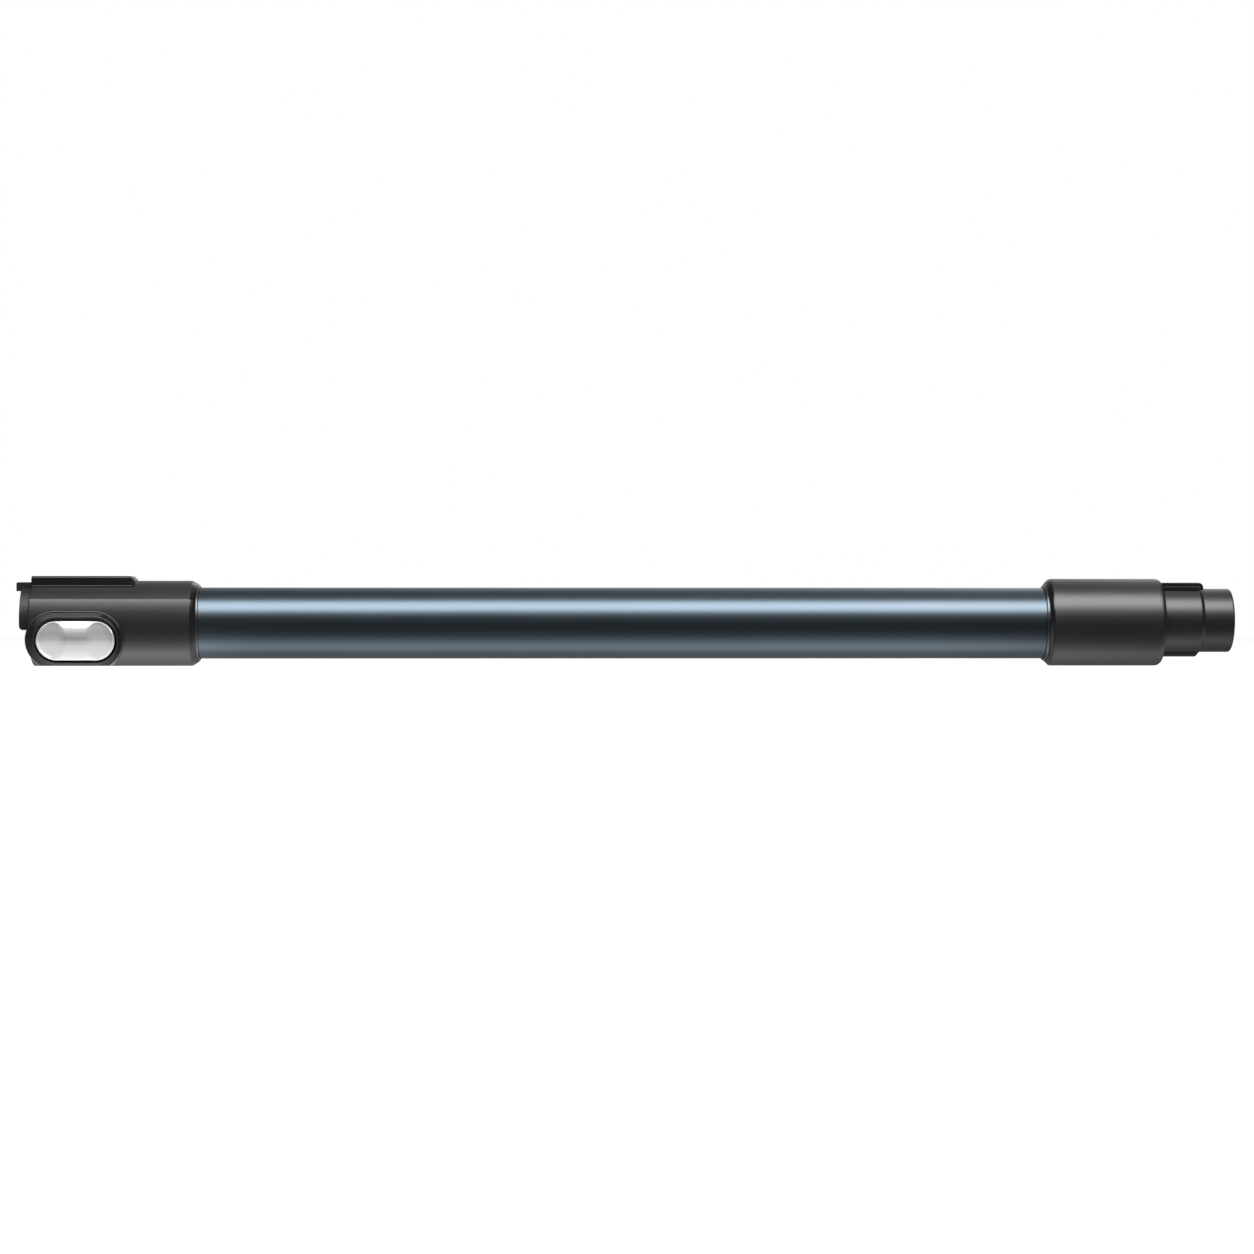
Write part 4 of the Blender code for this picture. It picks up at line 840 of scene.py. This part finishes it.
# Spigot end
def make_nozzle_collar(finishes):
    mouth = TUBE_RADIUS + 3 * FIT + TRIM_RING_WALL
    corner_x = COLLAR_START_X + COLLAR_CHAMFER
    path = [(COLLAR_START_X, mouth), (COLLAR_START_X + 0.12 * MM, mouth + 0.4 * MM),
            (corner_x, COLLAR_RADIUS - 0.36 * MM), (corner_x + 0.6 * MM, COLLAR_RADIUS - 0.13 * MM),
            (corner_x + 1.6 * MM, COLLAR_RADIUS)]
    edge_drop = COLLAR_RADIUS - COLLAR_GROOVE_RADIUS - 0.25 * MM
    for index in range(13):
        angle = math.pi / 2 * index / 12
        path.append((COLLAR_END_X - COLLAR_EDGE * (1 - math.sin(angle)),
                     COLLAR_RADIUS - edge_drop * (1 - math.cos(angle))))
    sections = [(x, circle(radius, COLLAR_RISE)) for x, radius in path]
    item = linked("collar_shell", loft("collar_shell", sections))
    cut(item,
        extruded_x("bore", circle(TUBE_RADIUS + FIT), COLLAR_X - BEYOND, TUBE_END_X + FIT),
        extruded_x("ring_seat", circle(RING_SEAT_RADIUS), COLLAR_X - BEYOND,
                   COLLAR_X + TRIM_RING_LENGTH + FIT),
        extruded_x("chamber", circle(FLANGE_RADIUS + FIT, SPIGOT_RISE), TUBE_END_X - FIT, SHOULDER_X),
        extruded_x("neck_hole", circle(NECK_RADIUS + FIT, SPIGOT_RISE), TUBE_END_X, COLLAR_END_X),
        extruded_x("groove", circle(COLLAR_GROOVE_RADIUS, COLLAR_RISE), GROOVE_X, COLLAR_END_X + BEYOND))
    piece(item, "wand", "nozzle_collar", finishes["satin"])
    polish(item, finishes["gloss"], COLLAR_START_X - 0.1 * MM, corner_x + 0.7 * MM)


def make_nozzle_spigot(finishes):
    bore = NOSE_BORE_RADIUS
    corners = [(FLANGE_X, FLANGE_RADIUS, 0.2 * MM), (FLANGE_X + FLANGE_LENGTH, FLANGE_RADIUS, 0.2 * MM),
               (FLANGE_X + FLANGE_LENGTH, NECK_RADIUS, 0.0),
               (NECK_END_X - NECK_CHAMFER, NECK_RADIUS, 0.35 * MM), (NECK_END_X, NOSE_RADIUS, 0.25 * MM),
               (NOSE_END_X, NOSE_RADIUS, 1.2 * MM), (NOSE_END_X, bore + 0.4 * MM, 0.15 * MM),
               (NOSE_END_X - 0.8 * MM, bore, 0.2 * MM), (FLANGE_X + 1.0 * MM, bore, 0.2 * MM),
               (FLANGE_X, bore + 1.0 * MM, 0.2 * MM)]
    item = linked("spigot_body", turned("spigot_body", rounded_profile(corners), SPIGOT_RISE))
    neck_foot = SPIGOT_RISE - NECK_RADIUS
    rib_top = neck_foot + 1.5 * MM
    rib_foot = SPIGOT_RISE - RIB_REACH
    rib_outline = [(GROOVE_X + FIT, rib_top), (NECK_END_X - FIT, rib_top),
                   (NECK_END_X - RIB_SLOPE, rib_foot), (GROOVE_X + FIT, rib_foot)]
    add_softened(item, extruded_y("rib", rib_outline, -RIB_HALF, RIB_HALF))
    groove_floor = SPIGOT_RISE + NOSE_BORE_RADIUS + 0.7 * MM
    catch_x = COLLAR_END_X + CATCH_OFFSET
    cut(item,
        block("wire_groove", (FLANGE_X - BEYOND, -WIRE_GROOVE_HALF, groove_floor),
              (COLLAR_END_X + 0.3 * NECK_LENGTH + FIT, WIRE_GROOVE_HALF, BEYOND)),
        block("catch", (catch_x - CATCH_HALF_LENGTH, -CATCH_HALF_WIDTH, -BEYOND),
              (catch_x + CATCH_HALF_LENGTH, CATCH_HALF_WIDTH, neck_foot + CATCH_DEPTH)))
    piece(item, "wand", "nozzle_spigot", finishes["satin"])


def key_outline(top, bottom):
    """Points (x, z) of the plug from the side, with its free upper corner rounded."""
    start = COLLAR_END_X + FIT
    end = NECK_END_X + KEY_OVERHANG
    corner = arc((end - KEY_CORNER, top - KEY_CORNER), KEY_CORNER, 0.0, math.pi / 2, 10)
    return [(start, bottom), (end, bottom)] + corner + [(start, top)]


def make_keyed_plug(finishes):
    bottom = SPIGOT_RISE + NECK_RADIUS * 0.8
    item = linked("key_block", extruded_y("key_block", key_outline(KEY_TOP, bottom), -KEY_HALF, KEY_HALF))
    soften(item, MOULDED_EDGE)
    foot = key_outline(KEY_FOOT_TOP, bottom)
    add_softened(item, extruded_y("key_foot", foot, -KEY_FOOT_HALF, KEY_FOOT_HALF))
    neck = circle(NECK_RADIUS + FIT, SPIGOT_RISE)
    cut(item, extruded_x("saddle", neck, COLLAR_END_X - BEYOND, NECK_END_X + BEYOND))
    end = NECK_END_X + KEY_OVERHANG - KEY_CORNER - 1.0 * MM
    half = CONTACT_HALF + FIT
    for y in (-CONTACT_OFFSET, CONTACT_OFFSET):
        cut(item, block("strip_seat",
                        (end - CONTACT_LENGTH - FIT, y - half, KEY_TOP - CONTACT_THICKNESS - FIT),
                        (end + FIT, y + half, BEYOND)))
    piece(item, "wand", "keyed_plug", finishes["gloss"])


def dress_cad_nodes(finishes):
    """Solids whose shape is right keep it and get their finish."""
    kept = {
        "wire_channel": "satin", "wire_front": "jacket", "wire_back": "jacket", "nose_seal": "rubber",
        "contact_carrier": "satin", "leaf_contact_front": "brass", "leaf_contact_back": "brass",
        "latch_lever": "satin", "lever_pin": "steel", "lever_spring": "steel", "spigot_seal": "rubber",
        "contact_strip_front": "brass", "contact_strip_back": "brass",
    }
    for node, finish in kept.items():
        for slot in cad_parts[node].material_slots:
            slot.material = finishes[finish]


# Studio
def make_floor():
    """White paper to the camera, dimmer to the object; in gloss only a painted reflection: a glowing pale
    strip under the wand, with no lamp there.
    """
    shape = bmesh.new()
    bmesh.ops.create_grid(shape, x_segments=1, y_segments=1, size=FLOOR_HALF)
    data = bpy.data.meshes.new("floor")
    shape.to_mesh(data)
    shape.free()
    floor = linked("floor", data)
    made = bpy.data.materials.new("studio_white")
    made.use_nodes = True
    tree = made.node_tree
    tree.nodes.clear()
    paper = tree.nodes.new("ShaderNodeBsdfDiffuse")
    paper.inputs["Color"].default_value = (FLOOR_PAPER, FLOOR_PAPER, FLOOR_PAPER, 1.0)
    glow = tree.nodes.new("ShaderNodeEmission")
    path = tree.nodes.new("ShaderNodeLightPath")
    seen = tree.nodes.new("ShaderNodeMapRange")
    seen.inputs["To Min"].default_value = FLOOR_BOUNCE
    seen.inputs["To Max"].default_value = FLOOR_GLOW
    both = tree.nodes.new("ShaderNodeAddShader")
    tree.links.new(path.outputs["Is Camera Ray"], seen.inputs["Value"])
    tree.links.new(seen.outputs["Result"], glow.inputs["Strength"])
    tree.links.new(paper.outputs["BSDF"], both.inputs[0])
    tree.links.new(glow.outputs["Emission"], both.inputs[1])
    place = tree.nodes.new("ShaderNodeTexCoord")
    parts = tree.nodes.new("ShaderNodeSeparateXYZ")
    tree.links.new(place.outputs["Object"], parts.inputs["Vector"])
    # The strip's levels are a painted reflection under the wand, with painted shade dimming it right beneath
    # the wand.
    profile = as_shares([(y * MM, level) for y, level in REFLECTION_STRIP_PROFILE], -REFLECTION_STRIP_REACH, REFLECTION_STRIP_REACH)
    across = add_ramp(tree, parts.outputs["Y"], -REFLECTION_STRIP_REACH, REFLECTION_STRIP_REACH, profile)
    along = add_ramp(tree, parts.outputs["X"], -1.0, 1.0, as_shares(REFLECTION_STRIP_ALONG, -1.0, 1.0))
    strength = tree.nodes.new("ShaderNodeMath")
    strength.operation = "MULTIPLY"
    painted_reflection = tree.nodes.new("ShaderNodeEmission")
    tree.links.new(across, strength.inputs[0])
    tree.links.new(along, strength.inputs[1])
    tree.links.new(strength.outputs["Value"], painted_reflection.inputs["Strength"])
    mix = tree.nodes.new("ShaderNodeMixShader")
    output = tree.nodes.new("ShaderNodeOutputMaterial")
    tree.links.new(path.outputs["Is Glossy Ray"], mix.inputs["Fac"])
    tree.links.new(both.outputs["Shader"], mix.inputs[1])
    tree.links.new(painted_reflection.outputs["Emission"], mix.inputs[2])
    tree.links.new(mix.outputs["Shader"], output.inputs["Surface"])
    data.materials.append(made)


def make_world():
    """White to the camera; to the object a dim room, paler behind the wand and dark far to both sides."""
    world = bpy.data.worlds.new("studio")
    bpy.context.scene.world = world
    world.use_nodes = True
    tree = world.node_tree
    tree.nodes.clear()
    place = tree.nodes.new("ShaderNodeTexCoord")
    parts = tree.nodes.new("ShaderNodeSeparateXYZ")
    depth = add_ramp(tree, parts.outputs["Y"], -1.0, 1.0, as_shares(ROOM_DEPTH, -1.0, 1.0))
    ends = add_ramp(tree, parts.outputs["X"], -1.0, 1.0, as_shares(ROOM_ENDS, -1.0, 1.0))
    level = tree.nodes.new("ShaderNodeMath")
    level.operation = "MULTIPLY"
    path = tree.nodes.new("ShaderNodeLightPath")
    room = tree.nodes.new("ShaderNodeBackground")
    white = tree.nodes.new("ShaderNodeBackground")
    white.inputs["Color"].default_value = (1.0, 1.0, 1.0, 1.0)
    mix = tree.nodes.new("ShaderNodeMixShader")
    output = tree.nodes.new("ShaderNodeOutputWorld")
    tree.links.new(place.outputs["Generated"], parts.inputs["Vector"])
    tree.links.new(depth, level.inputs[0])
    tree.links.new(ends, level.inputs[1])
    tree.links.new(level.outputs["Value"], room.inputs["Strength"])
    tree.links.new(path.outputs["Is Camera Ray"], mix.inputs["Fac"])
    tree.links.new(room.outputs["Background"], mix.inputs[1])
    tree.links.new(white.outputs["Background"], mix.inputs[2])
    tree.links.new(mix.outputs["Shader"], output.inputs["Surface"])


def make_lights():
    """One long softbox above the front of the wand."""
    lamp = bpy.data.lights.new("softbox", "AREA")
    lamp.shape = "RECTANGLE"
    lamp.size = SOFTBOX_LENGTH
    lamp.size_y = SOFTBOX_WIDTH
    lamp.energy = SOFTBOX_POWER
    item = linked("softbox", lamp)
    direction = Vector((0.0, -math.cos(SOFTBOX_ELEVATION), math.sin(SOFTBOX_ELEVATION)))
    item.location = Vector((0.0, 0.0, AXIS_HEIGHT)) + direction * SOFTBOX_DISTANCE
    item.rotation_euler = direction.to_track_quat("Z", "Y").to_euler()


def make_camera():
    lens = bpy.data.cameras.new("camera")
    camera = linked("camera", lens)
    lens.lens = CAMERA_LENS
    lens.shift_x = CAMERA_SHIFT
    lens.sensor_width = CAMERA_SENSOR
    lens.clip_start = 0.01
    lens.clip_end = 50.0
    camera.location = CAMERA_PLACE
    camera.rotation_euler = (math.pi / 2, 0.0, -CAMERA_TURN)
    bpy.context.scene.camera = camera


def main():
    finishes = make_finishes()
    make_camera()
    make_tube(finishes)
    make_trim_ring(finishes, "ring_at_socket", "socket_trim_ring",
                   HOUSING_END_X + TRIM_RING_PROUD - TRIM_RING_LENGTH)
    make_trim_ring(finishes, "ring_at_collar", "nozzle_trim_ring", COLLAR_X + FIT)
    make_socket_housing(finishes)
    make_rail_cover(finishes)
    make_socket_sleeve(finishes)
    make_bezel(finishes)
    make_release_button(finishes)
    make_nozzle_collar(finishes)
    make_nozzle_spigot(finishes)
    make_keyed_plug(finishes)
    dress_cad_nodes(finishes)
    make_floor()
    make_world()
    make_lights()
    bpy.context.scene.view_settings.view_transform = "Standard"


main()
